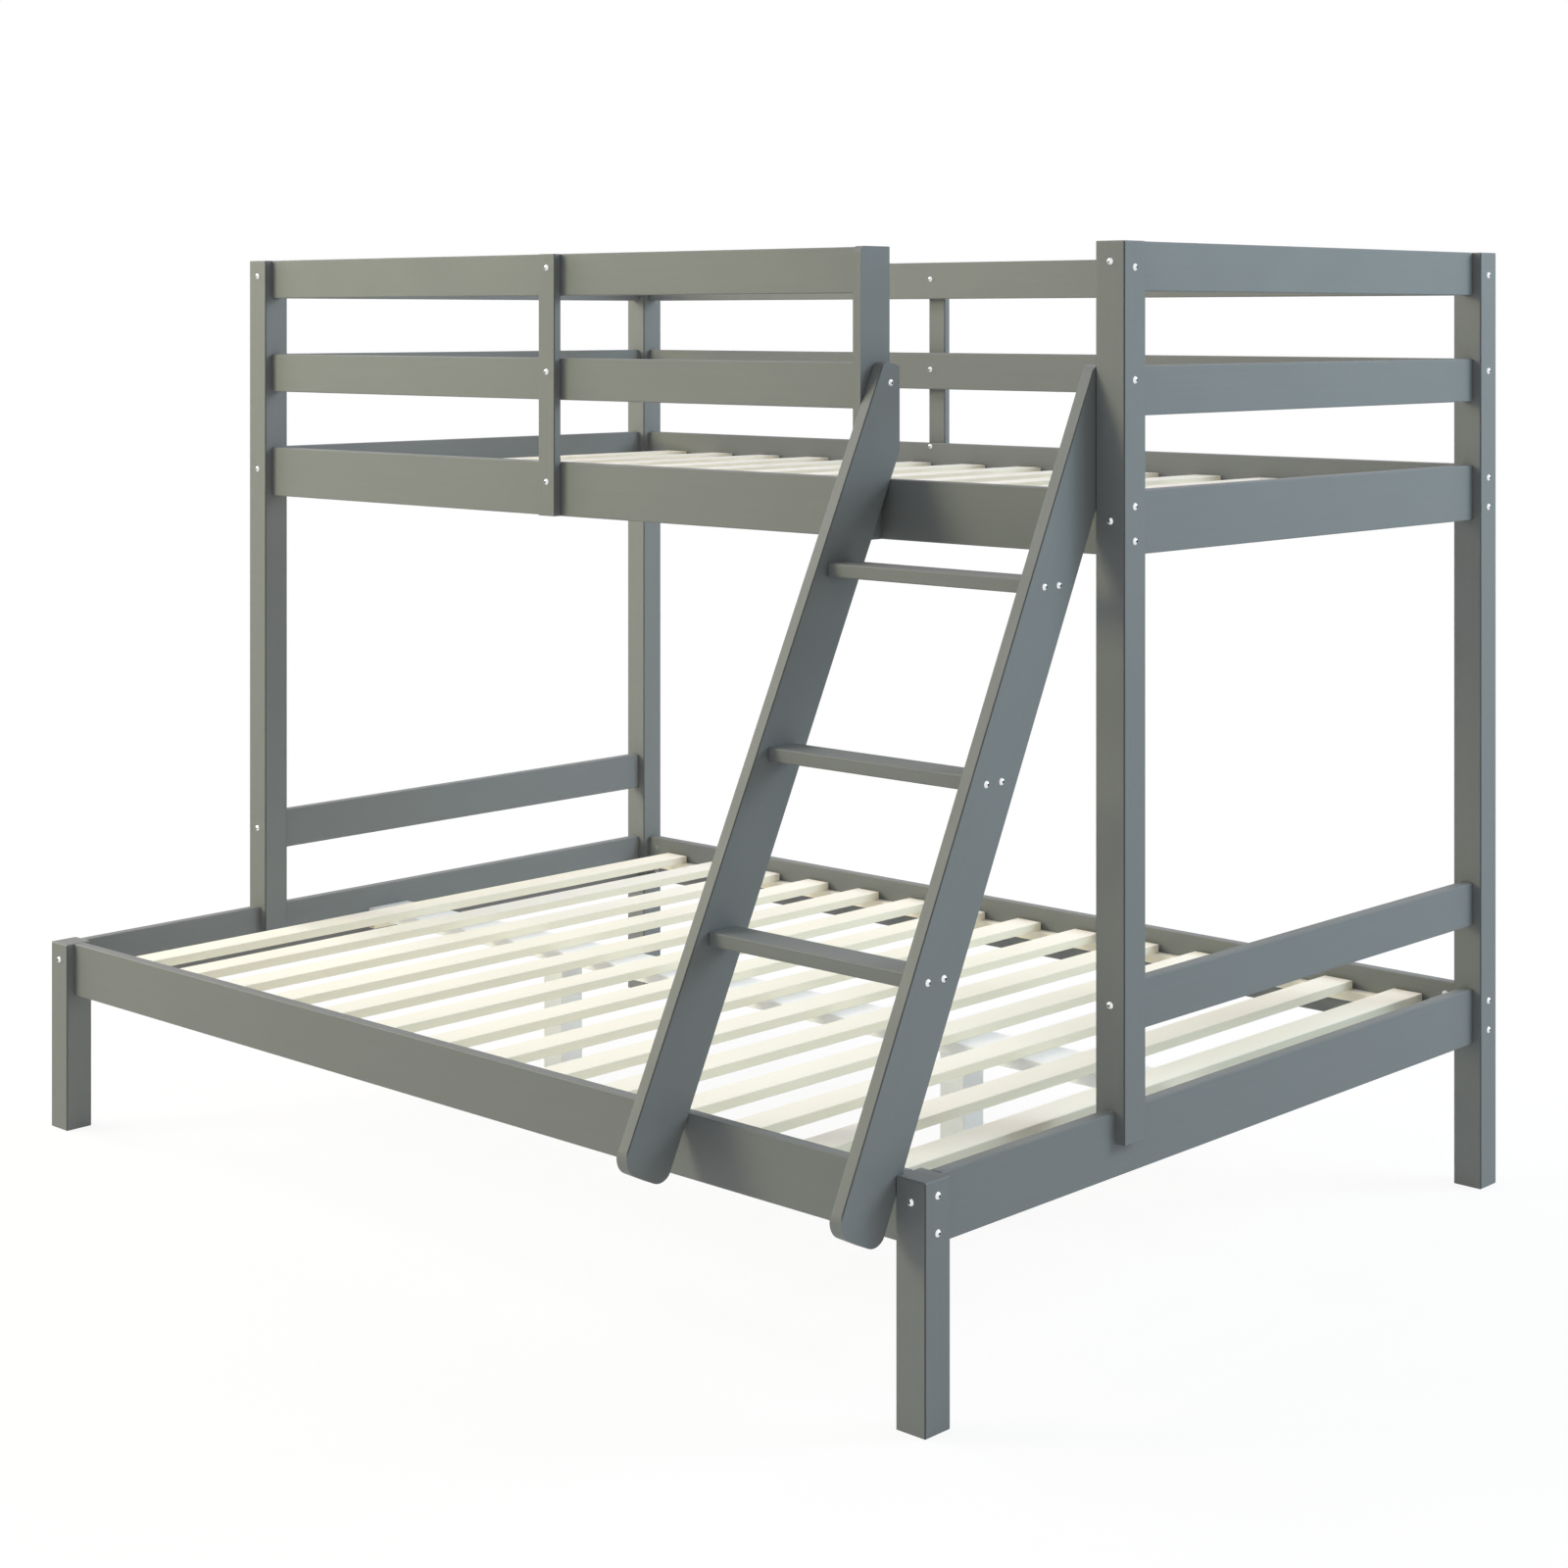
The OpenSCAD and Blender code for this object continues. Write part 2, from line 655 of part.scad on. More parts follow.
// Places of a rung's bolts at its left end, with +X into the rung
module at_rung_bolts(index) {
    for (side = [-1, 1])
        translate([rung_x, rung_y(index) + side * rung_bolt_gap / 2, rung_z(index)]) children();
}

// The same places at a rung's right end
module at_right_rung_bolts(index) {
    translate([2 * rung_x + ladder_w, 0, 0]) mirror([1, 0, 0]) at_rung_bolts(index) children();
}

module ladder_rungs() {
    placed() color(paint) for (index = [0 : rung_count - 1]) difference() {
        translate([rung_x, rung_y(index) - rung_d / 2, rung_z(index) - rung_t / 2])
            bar([ladder_w, rung_d, rung_t], rail_edge_r);
        at_rung_bolts(index) insert_drilling(insert_len);
        at_right_rung_bolts(index) insert_drilling(insert_len);
    }
}

// --- Slats and what carries them ---

// Ledger strip under the slats' ends, with its front face at y and its top at z
module ledger(y, z) {
    start = post_size + ledger_end_gap;
    placed() color(slat_wood) translate([start, y, z - ledger_size])
        bar([bed_length - 2 * start, ledger_size, ledger_size], slat_edge_r);
}

module lower_front_ledger() ledger(rail_setback + rail_t, lower_slat_z);
module lower_back_ledger() ledger(inner_back_y - ledger_size, lower_slat_z);
module upper_front_ledger() ledger(upper_inner_y, upper_slat_z);
module upper_back_ledger() ledger(inner_back_y - ledger_size, upper_slat_z);

// Row of slats from the front rail's inner face to the back rail's
module slats(front_y, z) {
    placed() color(slat_wood) for (index = [0 : slat_count - 1])
        translate([first_slat_x + index * slat_pitch, front_y + slat_end_gap, z])
            bar([slat_w, inner_back_y - front_y - 2 * slat_end_gap, slat_t], slat_edge_r);
}

module lower_slats() slats(rail_setback + rail_t, lower_slat_z);
module upper_slats() slats(upper_inner_y, upper_slat_z);

beam_dowel_in_beam = beam_t - blind_wall;

module beam_dowel_holes() {
    for (x = [centre_leg_inset, bed_length - centre_leg_inset]) translate([x, lower_depth / 2, beam_z]) {
        translate([0, 0, -over]) cylinder(h = beam_dowel_in_beam + over, d = dowel_d + 2 * fit_play);
        translate([0, 0, beam_dowel_in_beam - dowel_len - end_slack])
            cylinder(h = dowel_len + end_slack, d = dowel_d + 2 * fit_play);
    }
}

module centre_beam() {
    placed() color(support_paint) difference() {
        translate([rail_setback + rail_t, beam_y, beam_z])
            bar([slat_room, beam_w, beam_t], rail_edge_r);
        beam_dowel_holes();
    }
}

module centre_leg(x) {
    placed() color(support_paint) difference() {
        translate([x - centre_leg_size / 2, centre_leg_y, 0])
            bar([centre_leg_size, centre_leg_size, beam_z], post_edge_r);
        beam_dowel_holes();
    }
}

module left_centre_leg() centre_leg(centre_leg_inset);
module right_centre_leg() centre_leg(bed_length - centre_leg_inset);

// Cleat on an end rail's inner face that carries the beam's end
module cleat() {
    color(slat_wood) translate([rail_setback + rail_t, beam_y, beam_z - ledger_size])
        bar([ledger_size, beam_w, ledger_size], slat_edge_r);
}

module left_beam_cleat() placed() cleat();
module right_beam_cleat() placed() other_end() cleat();

// --- Fasteners ---

// One bolt for each bolt height of a rail, from the post's far face
module rail_bolts(rail, length) {
    for (z = bolt_heights(rail)) translate([-post_size, 0, z]) bolt(length);
}

module side_rail_bolts() {
    placed() color(zinc) {
        for (y = [0, back_face]) {
            from_left(y) rail_bolts(LOWER_SIDE, barrel_bolt_len);
            from_right(y) rail_bolts(LOWER_SIDE, barrel_bolt_len);
        }
        for (y = [upper_front, back_face]) {
            for (rail = [UPPER_SIDE, MID_SIDE, TOP_SIDE]) from_left(y) rail_bolts(rail, insert_bolt_len);
            from_right(y) rail_bolts(UPPER_SIDE, insert_bolt_len);
        }
        for (rail = [MID_SIDE, TOP_SIDE]) from_right(back_face) rail_bolts(rail, insert_bolt_len);
        from_right(upper_front) rail_bolts(TOP_SIDE, post_size - blind_wall - end_slack);
    }
}

module end_rail_bolts() {
    placed() color(zinc) for (x = [0, bed_length - post_size]) {
        from_front(x, 0) rail_bolts(LOWER_END, insert_bolt_len);
        for (rail = [LOW_GUARD, UPPER_END, TOP_END])
            from_front(x, upper_front) rail_bolts(rail, insert_bolt_len);
        for (rail = [LOWER_END, LOW_GUARD, UPPER_END, TOP_END])
            from_back(x) rail_bolts(rail, insert_bolt_len);
    }
}

module guard_post_bolts() {
    placed() color(zinc) {
        for (z = front_post_bolts) translate([guard_post_x, upper_edge_y - guard_post_t, z])
            rotate([0, 0, 90]) bolt(guard_bolt_len);
        for (z = back_post_bolts) translate([guard_post_x, inner_back_y, z])
            rotate([0, 0, 90]) bolt(guard_bolt_len);
    }
}

module rung_bolts() {
    placed() color(zinc) for (index = [0 : rung_count - 1]) {
        at_rung_bolts(index) translate([-stile_t, 0, 0]) bolt(stile_t + insert_len);
        at_right_rung_bolts(index) translate([-stile_t, 0, 0]) bolt(stile_t + insert_len);
    }
}

// The left bolt holds the stile to the guard board, the right one the stile to the middle post
module ladder_bolts() {
    placed() color(zinc) {
        translate([rung_x, board_bolt_y, board_bolt_z]) rotate([0, 0, 180])
            bolt(stile_t + board_insert_len);
        translate([bed_length, post_bolt_y, post_bolt_z]) rotate([0, 0, 180])
            bolt(post_size + stile_insert_len);
    }
}

module barrel_nut(z, inward) {
    difference() {
        barrel_place(z, inward) cylinder(h = barrel_len, d = barrel_d);
        translate([0, 0, z]) rod(2 * barrel_inset, bolt_d + 2 * fit_play);
    }
}

module barrel_nuts() {
    placed() color(zinc) for (z = bolt_heights(LOWER_SIDE)) {
        from_left(0) barrel_nut(z, 1);
        from_right(0) barrel_nut(z, -1);
        from_left(back_face) barrel_nut(z, -1);
        from_right(back_face) barrel_nut(z, 1);
    }
}

module end_inserts(rail) {
    for (z = bolt_heights(rail)) translate([0, 0, z]) insert(insert_len);
}

module rail_inserts() {
    placed() color(zinc) {
        for (y = [upper_front, back_face]) {
            for (rail = [UPPER_SIDE, MID_SIDE, TOP_SIDE]) from_left(y) end_inserts(rail);
            from_right(y) end_inserts(UPPER_SIDE);
        }
        for (rail = [MID_SIDE, TOP_SIDE]) from_right(back_face) end_inserts(rail);
        for (x = [0, bed_length - post_size]) {
            from_front(x, 0) end_inserts(LOWER_END);
            for (rail = [LOW_GUARD, UPPER_END, TOP_END]) from_front(x, upper_front) end_inserts(rail);
            for (rail = [LOWER_END, LOW_GUARD, UPPER_END, TOP_END])
                from_back(x) end_inserts(rail);
        }
    }
}

module rung_inserts() {
    placed() color(zinc) for (index = [0 : rung_count - 1]) {
        at_rung_bolts(index) insert(insert_len);
        at_right_rung_bolts(index) insert(insert_len);
    }
}

module ladder_inserts() {
    placed() color(zinc) {
        translate([ladder_left, board_bolt_y, board_bolt_z]) rotate([0, 0, 180])
            insert(board_insert_len);
        translate([ladder_right, post_bolt_y, post_bolt_z]) rotate([0, 0, 180])
            insert(stile_insert_len);
    }
}

// Hexagon nut along +X
module nut() {
    difference() {
        rotate([0, 90, 0]) cylinder(h = nut_h, d = nut_af / cos(30), $fn = 6);
        translate([-over, 0, 0]) rod(nut_h + 2 * over, bolt_d + 2 * fit_play);
    }
}

module guard_post_nuts() {
    placed() color(zinc) {
        for (z = front_post_bolts) translate([guard_post_x, upper_inner_y, z]) rotate([0, 0, 90]) nut();
        for (z = back_post_bolts) translate([guard_post_x, lower_depth, z]) rotate([0, 0, 90]) nut();
    }
}

// Dowels of one rail's end, half in the post and half in the rail
module joint_dowels(rail) {
    for (z = dowel_heights(rail)) translate([-dowel_len / 2, 0, z]) rod(dowel_len, dowel_d);
}

module rail_dowels() {
    placed() color(dowel_wood) {
        for (y = [0, back_face]) {
            from_left(y) joint_dowels(LOWER_SIDE);
            from_right(y) joint_dowels(LOWER_SIDE);
        }
        for (y = [upper_front, back_face]) {
            for (rail = [UPPER_SIDE, MID_SIDE, TOP_SIDE]) from_left(y) joint_dowels(rail);
            from_right(y) joint_dowels(UPPER_SIDE);
        }
        for (rail = [MID_SIDE, TOP_SIDE]) from_right(back_face) joint_dowels(rail);
        for (x = [0, bed_length - post_size]) {
            from_front(x, 0) joint_dowels(LOWER_END);
            for (rail = [LOW_GUARD, UPPER_END, MID_END, TOP_END])
                from_front(x, upper_front) joint_dowels(rail);
            for (rail = [LOWER_END, LOW_GUARD, UPPER_END, MID_END, TOP_END])
                from_back(x) joint_dowels(rail);
        }
    }
}

module board_dowels() {
    placed() color(dowel_wood) {
        for (rail = [MID_SIDE, TOP_SIDE], z = board_dowel_heights(rail))
            translate([board_x + board_dowel_in_board - dowel_len, post_bolt_y, z]) rod(dowel_len, dowel_d);
        for (z = bolt_heights(UPPER_SIDE))
            translate([board_x + board_t / 2, upper_edge_y + board_foot_dowel_in_rail, z])
                rotate([0, 0, -90]) rod(dowel_len, dowel_d);
    }
}

module beam_dowels() {
    placed() color(dowel_wood)
        for (x = [centre_leg_inset, bed_length - centre_leg_inset])
            translate([x, lower_depth / 2, beam_z + beam_dowel_in_beam - dowel_len])
                cylinder(h = dowel_len, d = dowel_d);
}

front_left_leg();
front_right_leg();
middle_left_post();
middle_right_post();
rear_left_post();
rear_right_post();
lower_front_rail();
lower_back_rail();
lower_left_end_rail();
lower_right_end_rail();
lower_left_guard_rail();
lower_right_guard_rail();
upper_front_rail();
upper_back_rail();
upper_left_end_rail();
upper_right_end_rail();
front_middle_guard_rail();
front_top_guard_rail();
back_middle_guard_rail();
back_top_guard_rail();
left_middle_guard_rail();
left_top_guard_rail();
right_middle_guard_rail();
right_top_guard_rail();
front_guard_post();
back_guard_post();
ladder_guard_board();
ladder_left_stile();
ladder_right_stile();
ladder_rungs();
lower_front_ledger();
lower_back_ledger();
upper_front_ledger();
upper_back_ledger();
lower_slats();
upper_slats();
centre_beam();
left_centre_leg();
right_centre_leg();
left_beam_cleat();
right_beam_cleat();
side_rail_bolts();
end_rail_bolts();
guard_post_bolts();
rung_bolts();
ladder_bolts();
barrel_nuts();
rail_inserts();
rung_inserts();
ladder_inserts();
guard_post_nuts();
rail_dowels();
board_dowels();
beam_dowels();
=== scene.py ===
"""Bunk bed with ladder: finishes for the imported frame, and a plain studio to show it in."""

import math

import bmesh
import bpy
from bpy.props import FloatProperty, FloatVectorProperty, PointerProperty
from mathutils import Euler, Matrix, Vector


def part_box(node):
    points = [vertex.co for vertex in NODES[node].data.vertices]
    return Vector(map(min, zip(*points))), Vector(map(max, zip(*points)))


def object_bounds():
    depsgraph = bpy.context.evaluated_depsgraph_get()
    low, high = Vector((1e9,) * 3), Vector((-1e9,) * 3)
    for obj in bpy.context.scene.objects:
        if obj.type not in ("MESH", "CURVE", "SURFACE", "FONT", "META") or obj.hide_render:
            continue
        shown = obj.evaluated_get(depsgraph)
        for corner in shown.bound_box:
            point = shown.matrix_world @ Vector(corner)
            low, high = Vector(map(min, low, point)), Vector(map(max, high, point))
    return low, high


bl_info = {
    "name": "Bunk bed with ladder",
    "version": (1, 0, 0),
    "blender": (4, 5, 0),
    "location": "3D View > Sidebar > Bunk bed",
    "description": "Paints and furnishes the packed bunk bed and sets up a studio round it",
    "category": "Object",
}

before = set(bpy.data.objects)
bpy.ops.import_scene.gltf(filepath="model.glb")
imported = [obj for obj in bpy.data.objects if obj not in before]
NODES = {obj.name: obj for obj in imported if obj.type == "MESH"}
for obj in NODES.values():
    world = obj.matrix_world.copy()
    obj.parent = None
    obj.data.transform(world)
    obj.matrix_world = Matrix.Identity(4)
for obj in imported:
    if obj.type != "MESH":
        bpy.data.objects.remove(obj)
FRAME_LOW, FRAME_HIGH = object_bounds()
MM = 0.001
SLAT_WIDTH = 55 * MM
SLAT_GAPS = 13

# Paint: coats overlap in patches of about a hand's width, a little lighter or darker than the
# colour, and the roller's dimples are this high as a share of their size
COAT_PATCH = 140 * MM
COAT_CONTRAST = 0.03
DIMPLE_RELIEF = 0.012
PAINT_IOR = 1.5
# Product of the two parts of the normal across a piece: 0 on a flat side, 0.5 halfway round an
# edge. The painted shade along an edge grows between the first and the second.
EDGE_SHADE_FROM = 0.25
EDGE_SHADE_FULL = 0.42

# Bare timber: the sizes of its fibres and of what stands up after planing, and how far apart in
# tone the fibres and the boards are
FIBRE_LENGTH = 60 * MM
FIBRE_WIDTH = 0.8 * MM
FIBRE_RELIEF = 0.05 * MM
FIBRE_CONTRAST = 0.02
RING_RELIEF = 0.08 * MM
# Scale at which the wave node draws about one growth line per ring width
RING_BANDS = 0.3
# The most, in metres, by which one board's pattern is shifted from its place
BOARD_JUMP = 3.0
DARKEST_BOARD = 0.97
FLECK_SIZE = 1.5 * MM
FLECK_RELIEF = 0.05 * MM
TIMBER_IOR = 1.45

# Zinc plate: reach of the socket's painted shade, and the fine grit that tumbling leaves
SOCKET_SHADE_REACH = 3 * MM
GRIT_SIZE = 0.7 * MM
GRIT_RELIEF = 0.02 * MM

# Stage, in metres: the floor lies just under the feet, and its shadow fades out between two
# distances from the middle
FLOOR_REACH = 60
FLOOR_DROP = 0.2 * MM
SHADOW_FADES_FROM = 2.0
SHADOW_ENDS = 4.0
VIEW_DEPTH = 200
# Width of the camera's sensor in millimetres
SENSOR_WIDTH = 36
# Direction round the bed from straight in front and height angle in degrees, then distance and
# size in metres
LAMPS = {
    "key": (-42, 20, 7.0, 2.4),
    "high": (-60, 45, 7.0, 2.4),
    "side": (-80, 22, 7.0, 2.4),
    "back": (135, 25, 7.0, 2.4),
    "low": (120, 15, 5.5, 2.2),
    "top": (180, 60, 4.6, 2.4),
}


def linear(code):
    """Turns an sRGB hex colour into the linear RGB that shaders read."""
    channels = [int(code[i : i + 2], 16) / 255 for i in (1, 3, 5)]
    return [c / 12.92 if c <= 0.04045 else ((c + 0.055) / 1.055) ** 2.4 for c in channels]


def rgba(colour):
    """Adds full opacity to a colour."""
    return (*colour, 1.0)


# Which way the timber of each piece runs: the turn that brings the X axis along it
lower_rail_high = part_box("lower_front_rail")[1]
upper_rail_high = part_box("upper_front_rail")[1]
stile_slope = math.atan2(
    upper_rail_high.z - lower_rail_high.z, upper_rail_high.y - lower_rail_high.y
)
QUARTER = math.pi / 2
ALONG_X = (0.0, 0.0, 0.0)
ALONG_Y = (0.0, 0.0, QUARTER)
ALONG_Z = (0.0, -QUARTER, 0.0)
ALONG_STILE = (0.0, -stile_slope, QUARTER)

LONG_RAILS = [
    "lower_front_rail",
    "lower_back_rail",
    "upper_front_rail",
    "upper_back_rail",
    "front_middle_guard_rail",
    "front_top_guard_rail",
    "back_middle_guard_rail",
    "back_top_guard_rail",
]
END_RAILS = [
    "lower_left_end_rail",
    "lower_right_end_rail",
    "lower_left_guard_rail",
    "lower_right_guard_rail",
    "upper_left_end_rail",
    "upper_right_end_rail",
    "left_middle_guard_rail",
    "left_top_guard_rail",
    "right_middle_guard_rail",
    "right_top_guard_rail",
]
UPRIGHTS = [
    "front_left_leg",
    "front_right_leg",
    "middle_left_post",
    "middle_right_post",
    "rear_left_post",
    "rear_right_post",
    "front_guard_post",
    "back_guard_post",
    "ladder_guard_board",
]
STILES = ["ladder_left_stile", "ladder_right_stile"]
RUNGS = ["ladder_rungs"]
SLATS = ["lower_slats", "upper_slats"]
LEDGERS = [
    "lower_front_ledger",
    "lower_back_ledger",
    "upper_front_ledger",
    "upper_back_ledger",
]
CLEATS = ["left_beam_cleat", "right_beam_cleat"]
CENTRE_LEGS = ["left_centre_leg", "right_centre_leg"]
BEAMS = ["centre_beam"]
BOLTS = ["side_rail_bolts", "end_rail_bolts", "guard_post_bolts", "rung_bolts", "ladder_bolts"]
NUTS = ["barrel_nuts", "rail_inserts", "rung_inserts", "ladder_inserts", "guard_post_nuts"]
DOWELS = ["rail_dowels", "board_dowels", "beam_dowels"]


class BunkPaint(bpy.types.PropertyGroup):
    """The satin paint on the frame, the ladder and the centre support."""

    frame_colour: FloatVectorProperty(
        name="Frame paint",
        description="Colour of the grey paint on posts, rails and ladder",
        subtype="COLOR",
        min=0,
        max=1,
        default=linear("#757879"),
    )
    support_colour: FloatVectorProperty(
        name="Support paint",
        description="Colour of the pale paint on the centre beam and its legs",
        subtype="COLOR",
        min=0,
        max=1,
        default=linear("#fafbfc"),
    )
    roughness: FloatProperty(
        name="Roughness",
        description="How dull the dry paint is",
        subtype="FACTOR",
        min=0.1,
        max=1,
        default=0.6,
    )
    # Painted shade: how dark the rounded long edges of posts and stiles are painted
    arris_shade: FloatProperty(
        name="Edge shade",
        description="Tone of the long edges of posts and stiles, as a share of the paint's tone",
        subtype="FACTOR",
        min=0,
        max=1,
        default=0.4,
    )
    grain_length: FloatProperty(
        name="Grain length",
        description="Length of one streak of timber grain that shows through the paint",
        subtype="DISTANCE",
        unit="LENGTH",
        min=20 * MM,
        max=600 * MM,
        default=180 * MM,
    )
    grain_width: FloatProperty(
        name="Grain width",
        description="Width of one streak of that grain",
        subtype="DISTANCE",
        unit="LENGTH",
        min=1 * MM,
        max=20 * MM,
        default=5 * MM,
    )
    grain_relief: FloatProperty(
        name="Grain relief",
        description="Height of the grain that the paint leaves showing",
        subtype="DISTANCE",
        unit="LENGTH",
        min=0,
        max=1 * MM,
        default=0.08 * MM,
    )
    roller_size: FloatProperty(
        name="Roller texture",
        description="Size of the small dimples that the roller leaves",
        subtype="DISTANCE",
        unit="LENGTH",
        min=0.5 * MM,
        max=8 * MM,
        default=2.2 * MM,
    )


class BunkTimber(bpy.types.PropertyGroup):
    """The bare timber of slats, ledgers, cleats and dowels."""

    early_wood: FloatVectorProperty(
        name="Early wood",
        description="Colour of the pale wood between the growth lines",
        subtype="COLOR",
        min=0,
        max=1,
        default=linear("#faf7ef"),
    )
    late_wood: FloatVectorProperty(
        name="Late wood",
        description="Colour of the growth lines",
        subtype="COLOR",
        min=0,
        max=1,
        default=linear("#f4efdd"),
    )
    # Painted warm bounce light: the slats' narrow long sides are the same wood as the faces, and
    # this warmer colour stands in for light thrown between the slats
    warm_bounce_side: FloatVectorProperty(
        name="Sawn edge",
        description="Colour of the narrow long sides, which are sawn and not planed",
        subtype="COLOR",
        min=0,
        max=1,
        default=linear("#f8f0dc"),
    )
    end_grain: FloatVectorProperty(
        name="End grain",
        description="Colour of the sawn ends",
        subtype="COLOR",
        min=0,
        max=1,
        default=linear("#e6dcc0"),
    )
    beech: FloatVectorProperty(
        name="Beech",
        description="Colour of the wooden dowels",
        subtype="COLOR",
        min=0,
        max=1,
        default=linear("#d2b58a"),
    )
    ring_width: FloatProperty(
        name="Ring width",
        description="Distance between two growth lines on a slat",
        subtype="DISTANCE",
        unit="LENGTH",
        min=1 * MM,
        max=20 * MM,
        default=7 * MM,
    )
    ring_length: FloatProperty(
        name="Ring length",
        description="How far a growth line runs before it wanders",
        subtype="DISTANCE",
        unit="LENGTH",
        min=50 * MM,
        max=2000 * MM,
        default=650 * MM,
    )


class BunkHardware(bpy.types.PropertyGroup):
    """The zinc-plated bolts, inserts and nuts."""

    zinc: FloatVectorProperty(
        name="Zinc",
        description="Colour of the bright zinc plate",
        subtype="COLOR",
        min=0,
        max=1,
        default=linear("#f2f3f4"),
    )
    # Painted shade: the colour that the hollows of the driving sockets are darkened to
    socket_shade: FloatVectorProperty(
        name="Grime",
        description="Colour of the plate deep in a driving socket",
        subtype="COLOR",
        min=0,
        max=1,
        default=linear("#3c3e40"),
    )
    roughness: FloatProperty(
        name="Roughness",
        description="How dull the plate is",
        subtype="FACTOR",
        min=0.05,
        max=1,
        default=0.3,
    )
    speckle: FloatProperty(
        name="Speckle",
        description="Size of the cloudy patches in the plate",
        subtype="DISTANCE",
        unit="LENGTH",
        min=0.2 * MM,
        max=10 * MM,
        default=2 * MM,
    )


class BunkStage(bpy.types.PropertyGroup):
    """The floor, the lamps and the camera."""

    floor_tone: FloatProperty(
        name="Floor tone",
        description="How much light the paper floor throws back at the bed",
        subtype="FACTOR",
        min=0,
        max=1,
        default=0.8,
    )
    shadow_depth: FloatProperty(
        name="Shadow depth",
        description="How dark the shadow on the floor can get",
        subtype="FACTOR",
        min=0,
        max=1,
        default=0.12,
    )
    room_light: FloatProperty(
        name="Room light",
        description="Even light from all round",
        min=0,
        max=2,
        default=0.37,
    )
    room_colour: FloatVectorProperty(
        name="Room colour",
        description="Tint of that even light",
        subtype="COLOR",
        min=0,
        max=1,
        default=(0.97, 1.0, 1.0),
    )
    key_power: FloatProperty(
        name="Key lamp",
        description="Power of the soft box in front on the left",
        unit="POWER",
        min=0,
        max=5000,
        default=217,
    )
    key_colour: FloatVectorProperty(
        name="Key colour",
        description="Tint of the key lamp",
        subtype="COLOR",
        min=0,
        max=1,
        default=(1.0, 0.98, 0.55),
    )
    high_power: FloatProperty(
        name="High lamp",
        description="Power of the soft box high up on the left",
        unit="POWER",
        min=0,
        max=5000,
        default=132,
    )
    high_colour: FloatVectorProperty(
        name="High colour",
        description="Tint of the high lamp",
        subtype="COLOR",
        min=0,
        max=1,
        default=(0.78, 0.8, 1.0),
    )
    side_power: FloatProperty(
        name="Side lamp",
        description="Power of the soft box on the far left",
        unit="POWER",
        min=0,
        max=5000,
        default=184,
    )
    side_colour: FloatVectorProperty(
        name="Side colour",
        description="Tint of the side lamp",
        subtype="COLOR",
        min=0,
        max=1,
        default=(1.0, 0.88, 0.8),
    )
    back_power: FloatProperty(
        name="Back lamp",
        description="Power of the soft box behind the bed on the right",
        unit="POWER",
        min=0,
        max=5000,
        default=169,
    )
    back_colour: FloatVectorProperty(
        name="Back colour",
        description="Tint of the back lamp",
        subtype="COLOR",
        min=0,
        max=1,
        default=(0.78, 0.9, 1.0),
    )
    low_power: FloatProperty(
        name="Low lamp",
        description="Power of the low soft box to the right of the bed",
        unit="POWER",
        min=0,
        max=5000,
        default=57,
    )
    low_colour: FloatVectorProperty(
        name="Low colour",
        description="Tint of the low lamp",
        subtype="COLOR",
        min=0,
        max=1,
        default=(0.6, 0.91, 1.0),
    )
    top_power: FloatProperty(
        name="Top lamp",
        description="Power of the soft box above the wall side of the bed",
        unit="POWER",
        min=0,
        max=5000,
        default=55,
    )
    top_colour: FloatVectorProperty(
        name="Top colour",
        description="Tint of the top lamp",
        subtype="COLOR",
        min=0,
        max=1,
        default=(1.0, 0.85, 0.93),
    )
    camera_place: FloatVectorProperty(
        name="Camera place",
        description="Where the camera stands",
        subtype="TRANSLATION",
        unit="LENGTH",
        default=(3.3061, -3.3800, 1.4228),
    )
    camera_turn: FloatProperty(
        name="Camera turn",
        description="Turn of the level camera to the left of straight ahead",
        subtype="ANGLE",
        unit="ROTATION",
        default=math.radians(43.229),
    )
    lens: FloatProperty(
        name="Lens",
        description="Focal length of the camera on a 36 mm sensor",
        unit="CAMERA",
        min=20,
        max=200,
        default=64.12,
    )
    drop: FloatProperty(
        name="Lens drop",
        description="How far the view is shifted down, as a share of its width",
        min=-0.5,
        max=0.5,
        default=-0.2964,
    )


def add_node(tree, kind, inputs=None, **settings):
    """Adds one node, gives it its settings, and fills or links its inputs."""
    node = tree.nodes.new(kind)
    for name, value in settings.items():
        setattr(node, name, value)
    for socket, value in (inputs or {}).items():
        if isinstance(value, bpy.types.NodeSocket):
            tree.links.new(value, node.inputs[socket])
        else:
            node.inputs[socket].default_value = value
    return node


def new_material(name):
    """A material with an empty node tree."""
    material = bpy.data.materials.new(name)
    material.use_nodes = True
    material.node_tree.nodes.clear()
    return material, material.node_tree


def dress(names, material):
    """Gives CAD nodes a finish."""
    for name in names:
        for slot in NODES[name].material_slots:
            slot.material = material


